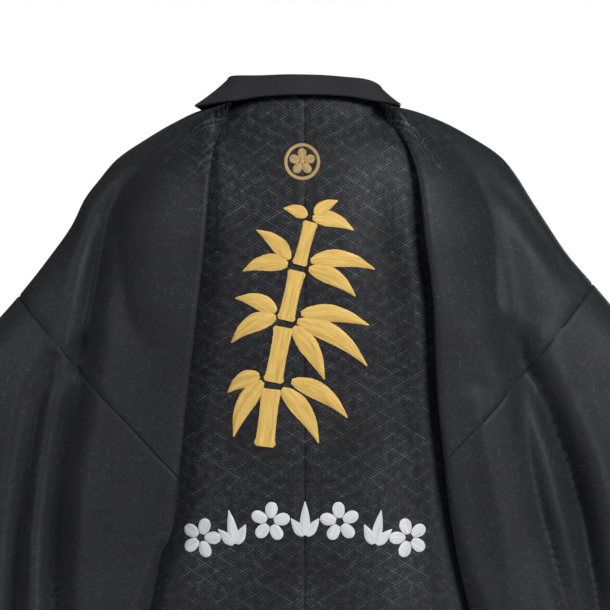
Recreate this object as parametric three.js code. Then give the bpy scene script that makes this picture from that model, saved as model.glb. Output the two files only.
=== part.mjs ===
// A man's haori jacket, worn open on a general figure with the arms held a little out.
//
// Every piece is a thin wall of cloth. A point of cloth is named by where it lies in the
// cut: `across`, from the centre-back seam out to the cuff, and `along`, from the shoulder
// line down the back or down the front. clothPoint() puts that point on the figure. The
// shoulder and sleeve are tilted down the arm while the panel by the centre hangs straight,
// so the cloth between them is taken up in one long pleat that grows from the end of the
// neck slit.
//
// Millimetres, +Z up, +X the wearer's left, +Y behind the wearer. The origin is the middle
// of the neck opening, at the level of the shoulders beside the neck.

import * as THREE from "three";

// Cloth and seams
const WALL = 1.6;
const COLLAR_WALL = 2.2;
const SEAM_GAP = 0.8;
const GUSSET_GAP = 1.3;

// The cut
const NECK_HALF = 84;
const SHOULDER_WIDTH = 395;
const SLEEVE_WIDTH = 365;
const SLEEVE_DEPTH = 500;
const ARMHOLE = 430;
const CUFF_OPENING = 250;
const BODY_LENGTH = 960;
const SIDE_WIDTH = 320;
const SIDE_TAPER = 70;
const CUFF_ACROSS = SHOULDER_WIDTH + SLEEVE_WIDTH;

// The pleat: how far the shoulder cloth is turned against the centre panel, the space
// between its layers, half the width of its rounded folds, and where it starts to open.
const TURN = 45.5;
const PLEAT_SPACE = 7;
const FOLD_HALF = 7;
const FOLD_ROUND = 3;
const PLEAT_START = { back: 6, front: 100 };
const PLEAT_FULL = { back: 75, front: 260 };
const FOLD_SEARCH_STEPS = 12;
const STEEPEST_FOLD = 80;

// The shoulder and arm: the line along their top, by reach from the end of the neck slit.
const RIDGE = {
  columns: ["reach", "out", "back", "up"],
  left: [
    [0, 76, 56, 0],
    [40, 109, 33, -5],
    [75, 141, 19, -18],
    [110, 170, 8, -34],
    [150, 203, 2, -56],
    [180, 222, 0, -78],
    [210, 238, -1, -99],
    [240, 251, -2, -126],
    [275, 278, -3, -164],
    [311, 309, -5, -203],
    [406, 372, -10, -272],
    [480, 422, -14, -330],
    [554, 468, -19, -387],
    [676, 549, -28, -483],
  ],
  right: [
    [0, 76, 56, 0],
    [40, 110, 33, -4.5],
    [75, 146, 19, -16],
    [110, 180, 8, -33],
    [150, 212, 2, -54],
    [180, 229, 0, -75],
    [210, 244, -1, -99],
    [240, 259, -2, -122],
    [275, 283, -3, -158],
    [311, 311, -5, -190],
    [406, 378, -10, -268],
    [480, 427, -14, -327],
    [554, 473, -19, -385],
    [676, 551, -28, -482],
  ],
};

// The roll of the cloth over that line, as a quarter ellipse: its drop and its length.
const ROLL = {
  columns: ["across", "backDrop", "backLength", "frontDrop", "frontLength"],
  rows: [
    [84, 0.1, 0.2, 72, 165],
    [110, 22, 45, 70, 150],
    [150, 46, 96, 66, 128],
    [230, 56, 106, 60, 108],
    [320, 58, 98, 58, 97],
    [395, 58, 91, 58, 91],
    [760, 50, 79, 50, 79],
  ],
};

const ROLL_FROM = 24;
const ROLL_TO = 56;
const FRONT_EDGE_WIDTH = 180;

// Level sections of the body of the jacket: half width, depth behind and before, the cloth
// from the centre line round to the side, and how far short of the side it stops.
const BODY = {
  columns: ["up", "halfWidth", "behind", "before", "girth", "opening"],
  rows: [
    [-1000, 262, 150, 150, 347, 33],
    [-800, 252, 143, 142, 342, 27],
    [-650, 241, 134, 132, 338, 21],
    [-560, 232, 127, 124, 332, 16],
    [-477, 216, 120, 116, 312, 11],
    [-400, 206, 117, 112, 300, 18],
    [-320, 205, 119, 108, 288, 24],
    [-240, 205, 125, 104, 270, 24],
    [-160, 200, 127, 96, 255, 24],
    [-100, 186, 121, 84, 238, 24],
    [-50, 152, 107, 72, 200, 20],
    [-20, 116, 92, 62, 158, 14],
    [10, 92, 80, 50, 128, 8],
  ],
};
const SECTION_POWER = 2.5;
const FLAT_SHARE = 0.6;
const SIDE_EASE = 26;

// The pleat's outer fold, seen from behind or in front: its angle from upright, by reach.
const FOLD_EDGE = {
  columns: ["reach", "leftBack", "rightBack", "leftFront", "rightFront"],
  rows: [
    [0, 9, 32, 60, 60],
    [44, 7.4, 24, 50, 50],
    [95, 6.4, 18, 40, 40],
    [145, 5.8, 13.8, 32, 32],
    [210, 6.0, 12, 24, 25],
    [280, 6.1, 9.9, 17, 18],
    [330, 6.2, 9.3, 14, 15],
    [400, 6.2, 9.2, 11, 12],
    [450, 6.6, 9.2, 9.5, 10.4],
    [480, 8.0, 9.3, 8.6, 9.8],
    [530, 8.4, 9.8, 8.4, 9.8],
    [600, 10, 11, 10, 11],
    [720, 14, 14, 14, 14],
  ],
};

// The sleeve: half its depth at the arm and near its lower edge, and where that edge hangs,
// from the body out to the cuff.
const ARM_HALF = 58;
const HANG_HALF = 16;
const EDGE_HALF = 5;
const SLEEVE_EDGE = {
  columns: ["share", "out", "back", "up"],
  rows: [
    [0, 246, -1, -562],
    [0.25, 252, -3, -634],
    [0.5, 266, -8, -712],
    [0.75, 292, -16, -790],
    [1, 326, -26, -866],
  ],
};
const INNER_CLEARANCE = 5;
const OUTER_CLEARANCE = 12;
const CLOSING_SPEED = 1.5;

// The drape between the fold and the arm: how soon it reaches the arm's depth, how late it
// takes up the arm's shift, how late the sleeve takes up the cuff's, and how soon the
// valleys start beside the fold. The arm's depth thins below the roll.
const DEPTH_SPEED = 1.15;
const SHIFT_DELAY = 1.5;
const SLEEVE_DELAY = 1.5;
const VALLEY_SPEED = 5;
const THIN_FROM = 90;

// Soft valleys in the hanging cloth: where each starts, bends and ends, its depth and the
// distance over which it fades to its sides.
const VALLEY_FADE = 0.6;
const VALLEYS = {
  columns: ["topOut", "topUp", "midOut", "midUp", "endOut", "endUp", "depth", "width"],
  left: [
    [190, -95, 214, -170, 234, -275, 8, 20],
    [244, -318, 250, -420, 256, -620, 10, 26],
    [262, -262, 285, -400, 306, -640, 9, 24],
  ],
  right: [
    [184, -120, 203, -224, 222, -300, 6, 18],
    [226, -330, 249, -430, 286, -580, 9, 24],
    [240, -268, 290, -398, 330, -600, 11, 26],
  ],
};

// The collar by distance from the centre back: its stand, its fall, how far the free edge
// of the fall stands off, and how far the stand is tucked inside. Beside the neck it stands
// straight up and its fall slopes out over the shoulder, and down the front it lies flat.
const COLLAR = {
  columns: ["along", "stand", "fall", "spread", "tuck"],
  left: [
    [0, 23, 26, 10, 6],
    [60, 26, 30, 13, 4],
    [84, 28, 30, 24, 1],
    [105, 27, 27, 31, 1],
    [150, 22, 33, 22, 2],
    [234, 14, 45, 9, 6],
    [434, 12, 50, 7, 6],
    [1044, 12, 52, 6, 6],
  ],
  right: [
    [0, 23, 26, 10, 6],
    [60, 23, 27, 13, 4],
    [84, 19, 20, 22, 1],
    [105, 16, 15, 24, 1],
    [150, 16, 26, 18, 2],
    [234, 13, 44, 9, 6],
    [434, 12, 50, 7, 6],
    [1044, 12, 52, 6, 6],
  ],
};
const COLLAR_UPRIGHT_FROM = 40;
const COLLAR_FLAT_AFTER = 150;
const NECK_RISE = 7;
const NECK_RISE_FADE = 60;
const COLLAR_INSIDE = -3.3;
const COLLAR_OUTSIDE = 4;
const COLLAR_ROLL = 3;
const LEAN_REACH = 12;

// Steps of the walls
const ARM_STEPS = [0, 12, 26, 45, 70, 100, 130, 162, 192, 212, 222, 232, 242, 252, 262, 274, 296,
  340, 385, ARMHOLE];
const BODY_STEPS = [...ARM_STEPS, 452, 474, 500, 560, 640, 740, 850, BODY_LENGTH];
const SLEEVE_STEPS = [...ARM_STEPS, 452, 476, SLEEVE_DEPTH];
const OUTER_STEPS = 7;
const SEAM_REACH = 8;
const NARROWEST = 4;
const CORNER_WIDTH = 110;
const EDGE_COLUMN = 14;
const NECK_COLUMNS = 4;

const CLOTH = { color: 0x2b2c30, roughness: 0.62, metalness: 0 };

const degrees = (angle) => (angle * 180) / Math.PI;
const radians = (angle) => (angle * Math.PI) / 180;
const mix = (from, to, share) => from + (to - from) * share;
const clamp = (value) => Math.min(1, Math.max(0, value));
const ease = (value) => clamp(value) ** 2 * (3 - 2 * clamp(value));

// A row of a table at any value of its first column, on a smooth curve through the rows.
function rowAt(table, rows, value) {
  const sorted = [...rows].sort((a, b) => a[0] - b[0]);
  const first = sorted[0][0];
  const last = sorted[sorted.length - 1][0];
  const x = Math.min(last, Math.max(first, value));
  let i = 0;
  while (i < sorted.length - 2 && x > sorted[i + 1][0]) {
    i += 1;
  }
  const slope = (k, c) => (sorted[k + 1][c] - sorted[k][c]) / (sorted[k + 1][0] - sorted[k][0]);
  const bend = (k, c) => {
    if (k === 0 || k === sorted.length - 1) {
      return slope(Math.min(k, sorted.length - 2), c);
    }
    const before = slope(k - 1, c);
    const after = slope(k, c);
    return before * after <= 0 ? 0 : (2 * before * after) / (before + after);
  };
  const span = sorted[i + 1][0] - sorted[i][0];
  const t = (x - sorted[i][0]) / span;
  const found = {};
  table.columns.forEach((name, c) => {
    const a = sorted[i][c];
    const b = sorted[i + 1][c];
    found[name] = (2 * t ** 3 - 3 * t ** 2 + 1) * a + (t ** 3 - 2 * t ** 2 + t) * span * bend(i, c)
      + (3 * t ** 2 - 2 * t ** 3) * b + (t ** 3 - t ** 2) * span * bend(i + 1, c);
  });
  return found;
}

// How far a point has gone down and round the shoulder or arm. Cloth that hangs straight
// from the neck slit loses no length to that roll, but the front edge does.
function rollOver(face, across, along) {
  const roll = rowAt(ROLL, ROLL.rows, across);
  const drop = roll[`${face}Drop`];
  const length = roll[`${face}Length`];
  const angle = (Math.PI / 2) * Math.min(1, along / length);
  const rolled = drop * (1 - Math.cos(angle)) + Math.max(0, along - length);
  return { down: mix(along, rolled, rollShare(face, across, along)), lift: Math.sin(angle) };
}

function rollShare(face, across, along) {
  const turn = degrees(Math.atan2(across - NECK_HALF, along));
  const share = ease((turn - ROLL_FROM) / (ROLL_TO - ROLL_FROM));
  return face === "back" ? share : Math.max(share, 1 - ease((across - NECK_HALF) / FRONT_EDGE_WIDTH));
}

// The front is cut longer towards its edge, so that the hem hangs level.
function cutLength(face, across, along) {
  const roll = rowAt(ROLL, ROLL.rows, across);
  const lost = face === "front" ? roll.frontLength - roll.frontDrop : 0;
  const share = 1 - ease((across - NECK_HALF) / FRONT_EDGE_WIDTH);
  return along + lost * share * ease((along - ARMHOLE) / (BODY_LENGTH - ARMHOLE));
}

// The angles of the pleat at a reach from the end of the neck slit: the outer fold as it
// hangs, the inner fold, and the outer fold as it lies in the cut.
function pleat(side, face, reach) {
  const column = side + (face === "back" ? "Back" : "Front");
  const hang = rowAt(FOLD_EDGE, FOLD_EDGE.rows, reach)[column];
  const open = ease((reach - PLEAT_START[face]) / (PLEAT_FULL[face] - PLEAT_START[face]));
  const tuck = (TURN / 2) * open;
  const round = Math.min(degrees(FOLD_ROUND / Math.max(reach, FOLD_ROUND)), tuck / 5);
  return { open, tuck, round, outer: hang, inner: hang + tuck, outerCut: hang + 2 * tuck };
}

// The angle at which a line of the cut hangs once the pleat is folded.
function foldedAngle(fold, turn) {
  const beforeInner = fold.inner - Math.hypot(turn - fold.inner, fold.round);
  const pastOuter = fold.outer + Math.hypot(turn - fold.outerCut, fold.round);
  return mix(beforeInner, pastOuter, ease((turn - fold.inner) / Math.max(fold.tuck, 0.001)));
}

// A point on the body of the jacket, `out` along the cloth from the centre line.
function onBody(face, out, up, offset) {
  const section = rowAt(BODY, BODY.rows, up);
  const depth = face === "back" ? section.behind : section.before;
  const flat = FLAT_SHARE * section.halfWidth;
  const limit = section.girth - section.opening;
  const slack = out - (limit - SIDE_EASE);
  const cloth = slack > 0 ? limit - SIDE_EASE * Math.exp(-slack / SIDE_EASE) : out;
  const turn = (Math.PI / 2) * ((cloth - flat) / (section.girth - flat));
  const x = cloth > flat ? flat + (section.halfWidth - flat) * Math.sin(turn) : cloth;
  const share = x / section.halfWidth;
  const y = depth * (1 - share ** SECTION_POWER) ** (1 / SECTION_POWER);
  const normal = new THREE.Vector2(
    share ** (SECTION_POWER - 1) / section.halfWidth,
    (y / depth) ** (SECTION_POWER - 1) / depth,
  ).normalize();
  return new THREE.Vector3(x + normal.x * offset, y + normal.y * offset, up);
}

// Push a point out of the body of the jacket, so that a sleeve hangs beside it.
function clearOfBody(face, point, clearance) {
  const section = rowAt(BODY, BODY.rows, point.z);
  const depth = face === "back" ? section.behind : section.before;
  const across = Math.abs(point.x) / (section.halfWidth + clearance);
  const through = Math.abs(point.y) / (depth + clearance);
  const size = (across ** SECTION_POWER + through ** SECTION_POWER) ** (1 / SECTION_POWER);
  if (size < 1) {
    point.x /= size;
    point.y /= size;
  }
}

// The depth of the soft valleys at a point of the hanging cloth.
function valleyDepth(side, out, up) {
  return VALLEYS[side].reduce((sum, row) => {
    const v = Object.fromEntries(VALLEYS.columns.map((name, c) => [name, row[c]]));
    if (up > v.topUp || up < v.endUp) {
      return sum;
    }
    const upper = up > v.midUp;
    const share = upper ? (v.topUp - up) / (v.topUp - v.midUp) : (v.midUp - up) / (v.midUp - v.endUp);
    const centre = upper ? mix(v.topOut, v.midOut, share) : mix(v.midOut, v.endOut, share);
    const length = (v.topUp - up) / (v.topUp - v.endUp);
    const fade = Math.sin(Math.PI * length) ** VALLEY_FADE;
    return sum + v.depth * fade * Math.exp(-(((out - centre) / v.width) ** 2));
  }, 0);
}

// The lower part of the sleeve closes on its bottom edge and hangs beside the body.
function closeSleeve(side, face, across, along, point, layer) {
  const share = clamp((across - SHOULDER_WIDTH) / SLEEVE_WIDTH);
  const start = mix(ARMHOLE, CUFF_OPENING, share);
  if (along <= start) {
    return 0;
  }
  const from = hangPoint(side, face, across, start).point;
  const edge = rowAt(SLEEVE_EDGE, SLEEVE_EDGE.rows, share);
  const way = (along - start) / (SLEEVE_DEPTH - start);
  const sign = face === "back" ? 1 : -1;
  const closing = new THREE.Vector3(
    mix(from.x, edge.out, way),
    mix(from.y, EDGE_HALF + sign * edge.back + layer * (1 - way ** 4), way),
    mix(from.z, edge.up, way),
  );
  point.lerp(closing, ease(way * CLOSING_SPEED));
  return way;
}

// How far the cuff edge hangs from where a stiff flat sleeve would have it, and how much
// of that comes after the top of the cuff.
function cuffShift(side, face, along) {
  const { down } = rollOver(face, CUFF_ACROSS, along);
  const reach = Math.hypot(CUFF_ACROSS - NECK_HALF, down);
  const turn = degrees(Math.atan2(CUFF_ACROSS - NECK_HALF, down)) - TURN;
  const top = rowAt(RIDGE, RIDGE[side], reach);
  const share = down / rollOver(face, CUFF_ACROSS, SLEEVE_DEPTH).down;
  const corner = rowAt(SLEEVE_EDGE, SLEEVE_EDGE.rows, 1);
  const stiff = {
    out: NECK_HALF + reach * Math.sin(radians(turn)),
    up: -reach * Math.cos(radians(turn)),
  };
  return {
    out: mix(top.out, corner.out, share) - stiff.out,
    up: mix(top.up, corner.up, share) - stiff.up,
  };
}

function cuffSag(side, face, along) {
  const here = cuffShift(side, face, along);
  const start = cuffShift(side, face, 0);
  return { out: here.out - start.out, up: here.up - start.up };
}

// Where a point of the cut hangs, with y measured outward from the wearer on either face.
function hangPoint(side, face, across, along) {
  const sign = face === "back" ? 1 : -1;
  const { down, lift } = rollOver(face, across, along);
  const reach = Math.hypot(across - NECK_HALF, down);
  const turn = degrees(Math.atan2(across - NECK_HALF, down));
  const fold = pleat(side, face, reach);
  const pastInner = reach * Math.sin(radians(turn - fold.inner));
  const pastOuter = reach * Math.sin(radians(turn - fold.outerCut));
  const step = (distance) => ease((distance + FOLD_HALF) / (2 * FOLD_HALF));
  const layer = PLEAT_SPACE * fold.open * (step(pastInner) + step(pastOuter));
  const lay = (angle, radius = reach) => ({
    out: NECK_HALF + radius * Math.sin(radians(angle)),
    up: -radius * Math.cos(radians(angle)),
  });
  const ridge = rowAt(RIDGE, RIDGE[side], reach);
  const ridgeReach = Math.min(reach, CUFF_ACROSS - NECK_HALF);
  const neck = rowAt(RIDGE, RIDGE[side], 0);
  const top = sign * mix(neck.back, ridge.back, turn / 90);
  if (turn <= fold.outerCut) {
    const hang = lay(foldedAngle(fold, turn));
    const point = onBody(face, hang.out, hang.up, layer);
    point.y = mix(top, point.y, face === "back" ? 1 : lift);
    return { point, layer };
  }
  const tilt = (turn - fold.outerCut) / (90 - fold.outerCut);
  const here = lay(foldedAngle(fold, turn));
  const atEdge = lay(fold.outer + fold.round);
  const atRidge = lay(90 - 2 * fold.tuck, ridgeReach);
  const edge = onBody(face, atEdge.out, atEdge.up, layer);
  const held = { out: ridge.out - atRidge.out, up: ridge.up - atRidge.up };
  const body = {
    out: mix(edge.x - atEdge.out, held.out, tilt ** SHIFT_DELAY),
    up: mix(0, held.up, tilt ** SHIFT_DELAY),
  };
  const sleeve = clamp((across - SHOULDER_WIDTH) / SLEEVE_WIDTH) ** SLEEVE_DELAY;
  const sag = cuffSag(side, face, along);
  const half = mix(ARM_HALF, HANG_HALF, ease((along - THIN_FROM) / (SLEEVE_DEPTH - THIN_FROM)));
  const point = new THREE.Vector3(
    here.out + mix(body.out, held.out + sag.out, sleeve),
    mix(edge.y, half + sign * ridge.back, ease(tilt * DEPTH_SPEED)),
    here.up + mix(body.up, held.up + sag.up, sleeve),
  );
  point.y -= valleyDepth(side, point.x, point.z) * ease(tilt * VALLEY_SPEED);
  point.y = mix(top, point.y, face === "back" ? mix(1, lift, tilt) : lift);
  clearOfBody(face, point, layer);
  return { point, layer };
}

// Where a point of the cut lies in the world.
function clothPoint(side, face, across, along) {
  if (across < NECK_HALF) {
    const rise = NECK_RISE * (1 - (across / NECK_HALF) ** 2) * Math.exp(-along / NECK_RISE_FADE);
    const point = onBody(face, across, rise - along, 0);
    point.x *= side === "right" ? -1 : 1;
    return point;
  }
  const { point, layer } = hangPoint(side, face, across, along);
  if (across > SHOULDER_WIDTH && closeSleeve(side, face, across, along, point, layer) > 0) {
    clearOfBody(face, point, mix(INNER_CLEARANCE, OUTER_CLEARANCE, layer / PLEAT_SPACE - 1));
  }
  point.y *= face === "back" ? 1 : -1;
  point.x *= side === "right" ? -1 : 1;
  return point;
}

// Where the pleat's inner or outer fold crosses the cut at a distance along it.
function foldAcross(side, face, along, which) {
  let across = SHOULDER_WIDTH;
  for (let i = 0; i < FOLD_SEARCH_STEPS; i += 1) {
    const { down } = rollOver(face, across, along);
    const reach = Math.hypot(across - NECK_HALF, down);
    const angle = Math.min(STEEPEST_FOLD, pleat(side, face, reach)[which]);
    across = mix(across, NECK_HALF + down * Math.tan(radians(angle)), 0.5);
  }
  return across;
}

// Columns of a panel at one distance along, drawn close together at the pleat's folds.
function panelColumns(side, face, along, from, to) {
  const inner = foldAcross(side, face, along, "inner");
  const outer = foldAcross(side, face, along, "outerCut");
  const wanted = [
    from,
    from + EDGE_COLUMN,
    mix(from + EDGE_COLUMN, inner, 0.5),
    inner - FOLD_HALF,
    inner,
    inner + FOLD_HALF,
    mix(inner, outer, 0.5),
    outer - FOLD_HALF,
    outer,
    outer + FOLD_HALF,
  ];
  const count = wanted.length + OUTER_STEPS - 1;
  const columns = [from];
  for (let i = 1; i < wanted.length; i += 1) {
    const lowest = columns[i - 1] + NARROWEST;
    const highest = to - (count - i) * NARROWEST;
    columns.push(Math.min(highest, Math.max(lowest, wanted[i])));
  }
  const start = columns[columns.length - 1];
  for (let i = 1; i <= OUTER_STEPS; i += 1) {
    columns.push(mix(start, to, i / OUTER_STEPS));
  }
  return columns;
}

// The direction of the wall on the armhole seam, the same for the pieces on both sides.
function seamNormal(side, face, along) {
  const at = (dx, dy) => clothPoint(side, face, SHOULDER_WIDTH + dx, Math.max(0, along + dy));
  const across = new THREE.Vector3().subVectors(at(SEAM_REACH, 0), at(-SEAM_REACH, 0));
  const down = new THREE.Vector3().subVectors(at(0, SEAM_REACH), at(0, -SEAM_REACH));
  return across.cross(down).normalize();
}

// A sheet is a list of points and four-sided cells, turned into a closed wall of cloth.
class Sheet {
  constructor() {
    this.points = [];
    this.cells = [];
    this.given = new Map();
  }

  addRow(points) {
    return points.map((point) => this.points.push(point) - 1);
  }

  // The wall at this point stands along a given direction, shared with the next piece.
  setNormal(index, normal) {
    this.given.set(index, normal);
  }

  addStrip(a, b, flipped) {
    for (let i = 0; i < a.length - 1; i += 1) {
      const cell = [a[i], a[i + 1], b[i + 1], b[i]];
      this.cells.push(flipped ? cell.reverse() : cell);
    }
  }

  addRows(rows, flipped) {
    rows.slice(1).forEach((row, i) => this.addStrip(rows[i], row, flipped));
  }

  normals() {
    const normals = this.points.map(() => new THREE.Vector3());
    this.cells.forEach((cell) => {
      const [a, b, c, d] = cell.map((i) => this.points[i]);
      const across = new THREE.Vector3().subVectors(c, a);
      const face = across.cross(new THREE.Vector3().subVectors(d, b));
      cell.forEach((i) => normals[i].add(face));
    });
    return normals.map((normal, i) => {
      const given = this.given.get(i);
      if (given === undefined) {
        return normal.normalize();
      }
      return given.clone().multiplyScalar(Math.sign(given.dot(normal)) || 1);
    });
  }

  wall(thickness) {
    const count = this.points.length;
    const positions = [];
    const normals = this.normals();
    [0.5, -0.5].forEach((side) => this.points.forEach((point, i) => {
      const moved = point.clone().addScaledVector(normals[i], side * thickness);
      positions.push(moved.x, moved.y, moved.z);
    }));
    const faces = [];
    const edges = new Map();
    this.cells.forEach((cell) => {
      const [a, b, c, d] = cell;
      faces.push(a, b, c, a, c, d);
      faces.push(a + count, c + count, b + count, a + count, d + count, c + count);
      cell.forEach((from, i) => edges.set(`${from} ${cell[(i + 1) % 4]}`, [from, cell[(i + 1) % 4]]));
    });
    edges.forEach(([from, to]) => {
      if (!edges.has(`${to} ${from}`)) {
        faces.push(to, from, from + count, to, from + count, to + count);
      }
    });
    const geometry = new THREE.BufferGeometry();
    geometry.setAttribute("position", new THREE.Float32BufferAttribute(positions, 3));
    geometry.setIndex(faces);
    geometry.computeVertexNormals();
    return geometry;
  }
}

function piece(name, sheet, thickness) {
  const mesh = new THREE.Mesh(sheet.wall(thickness), new THREE.MeshStandardMaterial(CLOTH));
  mesh.name = name;
  return mesh;
}

function sideWidth(along) {
  const edge = SHOULDER_WIDTH - SEAM_GAP / 2;
  return mix(edge, SIDE_WIDTH, ease((along - ARMHOLE) / SIDE_TAPER));
}

// One length of cloth, up the front, over the shoulder and down the back.
function bodyPanel(side) {
  const sheet = new Sheet();
  const right = side === "right";
  const centre = Array.from({ length: NECK_COLUMNS }, (_, i) => (
    Math.max(SEAM_GAP / 2, (NECK_HALF * i) / NECK_COLUMNS)
  ));
  const rowPoints = (face, along) => panelColumns(side, face, along, NECK_HALF, sideWidth(along))
    .map((across) => clothPoint(side, face, across, cutLength(face, across, along)));
  const shoulder = sheet.addRow(rowPoints("back", 0));
  const middle = (along) => sheet.addRow(centre.map((across) => clothPoint(side, "back", across, along)));
  const back = BODY_STEPS.map((along) => [
    ...middle(along),
    ...(along ? sheet.addRow(rowPoints("back", along)) : shoulder),
  ]);
  const front = BODY_STEPS.map((along) => (along ? sheet.addRow(rowPoints("front", along)) : shoulder));
  BODY_STEPS.filter((along) => along > 0 && along <= ARMHOLE).forEach((along) => {
    const row = BODY_STEPS.indexOf(along);
    sheet.setNormal(back[row].at(-1), seamNormal(side, "back", along));
    sheet.setNormal(front[row].at(-1), seamNormal(side, "front", along));
  });
  sheet.addRows(back, right);
  sheet.addRows(front, !right);
  return piece(`body_${side}`, sheet, WALL);
}

// A flat tube folded along the arm. Below the cuff opening and below the armhole its two
// faces are sewn to each other, and they are one along the bottom.
function sleeve(side) {
  const sheet = new Sheet();
  const right = side === "right";
  const seam = SHOULDER_WIDTH + SEAM_GAP / 2;
  const rowPoints = (face, along) => {
    const outer = Math.min(foldAcross(side, face, along, "outerCut"), CUFF_ACROSS - CORNER_WIDTH);
    const columns = [seam];
    const before = [mix(seam, outer, 0.35), mix(seam, outer, 0.7)];
    const wanted = [...before, outer - FOLD_HALF, outer, outer + FOLD_HALF];
    wanted.forEach((across, i) => columns.push(Math.max(columns[i] + NARROWEST, across)));
    const start = columns[columns.length - 1];
    for (let i = 1; i <= OUTER_STEPS; i += 1) {
      columns.push(mix(start, CUFF_ACROSS, i / OUTER_STEPS));
    }
    return columns.map((across) => clothPoint(side, face, across, along));
  };
  const arm = sheet.addRow(rowPoints("back", 0));
  const faceRows = (face) => SLEEVE_STEPS.map((along) => (
    along ? sheet.addRow(rowPoints(face, along)) : arm
  ));
  const back = faceRows("back");
  const front = faceRows("front");
  SLEEVE_STEPS.filter((along) => along > 0 && along <= ARMHOLE).forEach((along) => {
    const row = SLEEVE_STEPS.indexOf(along);
    sheet.setNormal(back[row][0], seamNormal(side, "back", along));
    sheet.setNormal(front[row][0], seamNormal(side, "front", along));
  });
  sheet.addRows(back, right);
  sheet.addRows(front, !right);
  const last = SLEEVE_STEPS.length - 1;
  const column = (rows, from, c) => rows
    .filter((row, i) => SLEEVE_STEPS[i] >= from)
    .map((row) => row.at(c));
  sheet.addStrip(back[last], front[last], right);
  sheet.addStrip(column(back, ARMHOLE, 0), column(front, ARMHOLE, 0), right);
  sheet.addStrip(column(back, CUFF_OPENING, -1), column(front, CUFF_OPENING, -1), !right);
  return piece(`sleeve_${side}`, sheet, WALL);
}

// The strip let in at the side, from the armhole to the hem.
function gusset(side) {
  const sheet = new Sheet();
  const rows = BODY_STEPS.filter((along) => along > ARMHOLE).map((along) => {
    const back = clothPoint(side, "back", sideWidth(along), along);
    const front = clothPoint(side, "front", sideWidth(along), cutLength("front", sideWidth(along), along));
    const gap = GUSSET_GAP / back.distanceTo(front);
    return sheet.addRow([gap, 0.5, 1 - gap].map((share) => back.clone().lerp(front, share)));
  });
  sheet.addRows(rows, side === "left");
  return piece(`gusset_${side}`, sheet, WALL);
}

// The collar's stations from the left hem round the neck to the right hem.
function collarStations() {
  const front = BODY_STEPS.filter((along) => along > 0);
  const half = (side) => {
    const at = (face, across, along) => clothPoint(side, face, across, cutLength(face, across, along));
    const columns = Array.from({ length: NECK_COLUMNS + 1 }, (_, i) => (NECK_HALF * i) / NECK_COLUMNS);
    const neck = columns.map((across) => ({
      side,
      along: across,
      edge: at("back", across, 0),
      inside: at("back", across, LEAN_REACH),
    }));
    const chest = front.map((along) => ({
      side,
      along: NECK_HALF + along,
      edge: at("front", NECK_HALF, along),
      inside: at("front", NECK_HALF + LEAN_REACH, along),
    }));
    return [...neck, ...chest];
  };
  const left = half("left").reverse();
  const right = half("right").slice(1);
  return [...left, ...right];
}

// Which way the collar stands off its sewn edge.
function collarLean(station) {
  const beside = ease((station.along - COLLAR_UPRIGHT_FROM) / (NECK_HALF - COLLAR_UPRIGHT_FROM));
  const upright = beside * (1 - ease((station.along - NECK_HALF) / COLLAR_FLAT_AFTER));
  const lean = new THREE.Vector3().subVectors(station.edge, station.inside).normalize();
  return lean.lerp(new THREE.Vector3(0, 0, 1), upright).normalize();
}

function collar() {
  const sheet = new Sheet();
  const stations = collarStations();
  const near = (i) => stations[Math.min(stations.length - 1, Math.max(0, i))].edge;
  const edges = stations.map((station, i) => station.edge.clone()
    .multiplyScalar(2)
    .add(near(i - 1))
    .add(near(i + 1))
    .divideScalar(4));
  const rows = stations.map((station, i) => {
    const before = edges[Math.max(0, i - 1)];
    const after = edges[Math.min(edges.length - 1, i + 1)];
    const forward = new THREE.Vector3().subVectors(after, before).normalize();
    const away = collarLean(station);
    away.addScaledVector(forward, -away.dot(forward)).normalize();
    const outward = new THREE.Vector3().crossVectors(forward, away);
    const size = rowAt(COLLAR, COLLAR[station.side], station.along);
    const section = [
      [-size.tuck, COLLAR_INSIDE],
      [size.stand * 0.45, COLLAR_INSIDE * 0.8],
      [size.stand - COLLAR_ROLL, COLLAR_INSIDE * 0.3],
      [size.stand, COLLAR_ROLL / 2],
      [size.stand - COLLAR_ROLL, COLLAR_OUTSIDE],
      [size.stand - size.fall * 0.4, mix(COLLAR_OUTSIDE, size.spread, 0.5)],
      [size.stand - size.fall * 0.7, mix(COLLAR_OUTSIDE, size.spread, 0.8)],
      [size.stand - size.fall, size.spread],
    ];
    return sheet.addRow(section.map(([reach, off]) => edges[i].clone()
      .addScaledVector(away, reach)
      .addScaledVector(outward, off)));
  });
  sheet.addRows(rows, false);
  return piece("collar", sheet, COLLAR_WALL);
}

const haori = new THREE.Group();
["left", "right"].forEach((side) => {
  haori.add(bodyPanel(side), sleeve(side), gusset(side));
});
haori.add(collar());

export default haori;
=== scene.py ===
# %% [markdown]
# # A man's haori jacket, worn open
#
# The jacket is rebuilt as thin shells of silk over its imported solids. Each shell is worked
# out from the cut of the garment: a point of cloth is named by where it lies in the flat
# pattern, and one function says where that point hangs on the wearer. The weave, the
# seams and the embroidery all follow the same flat coordinates, so they turn and fold
# with the cloth.

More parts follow.
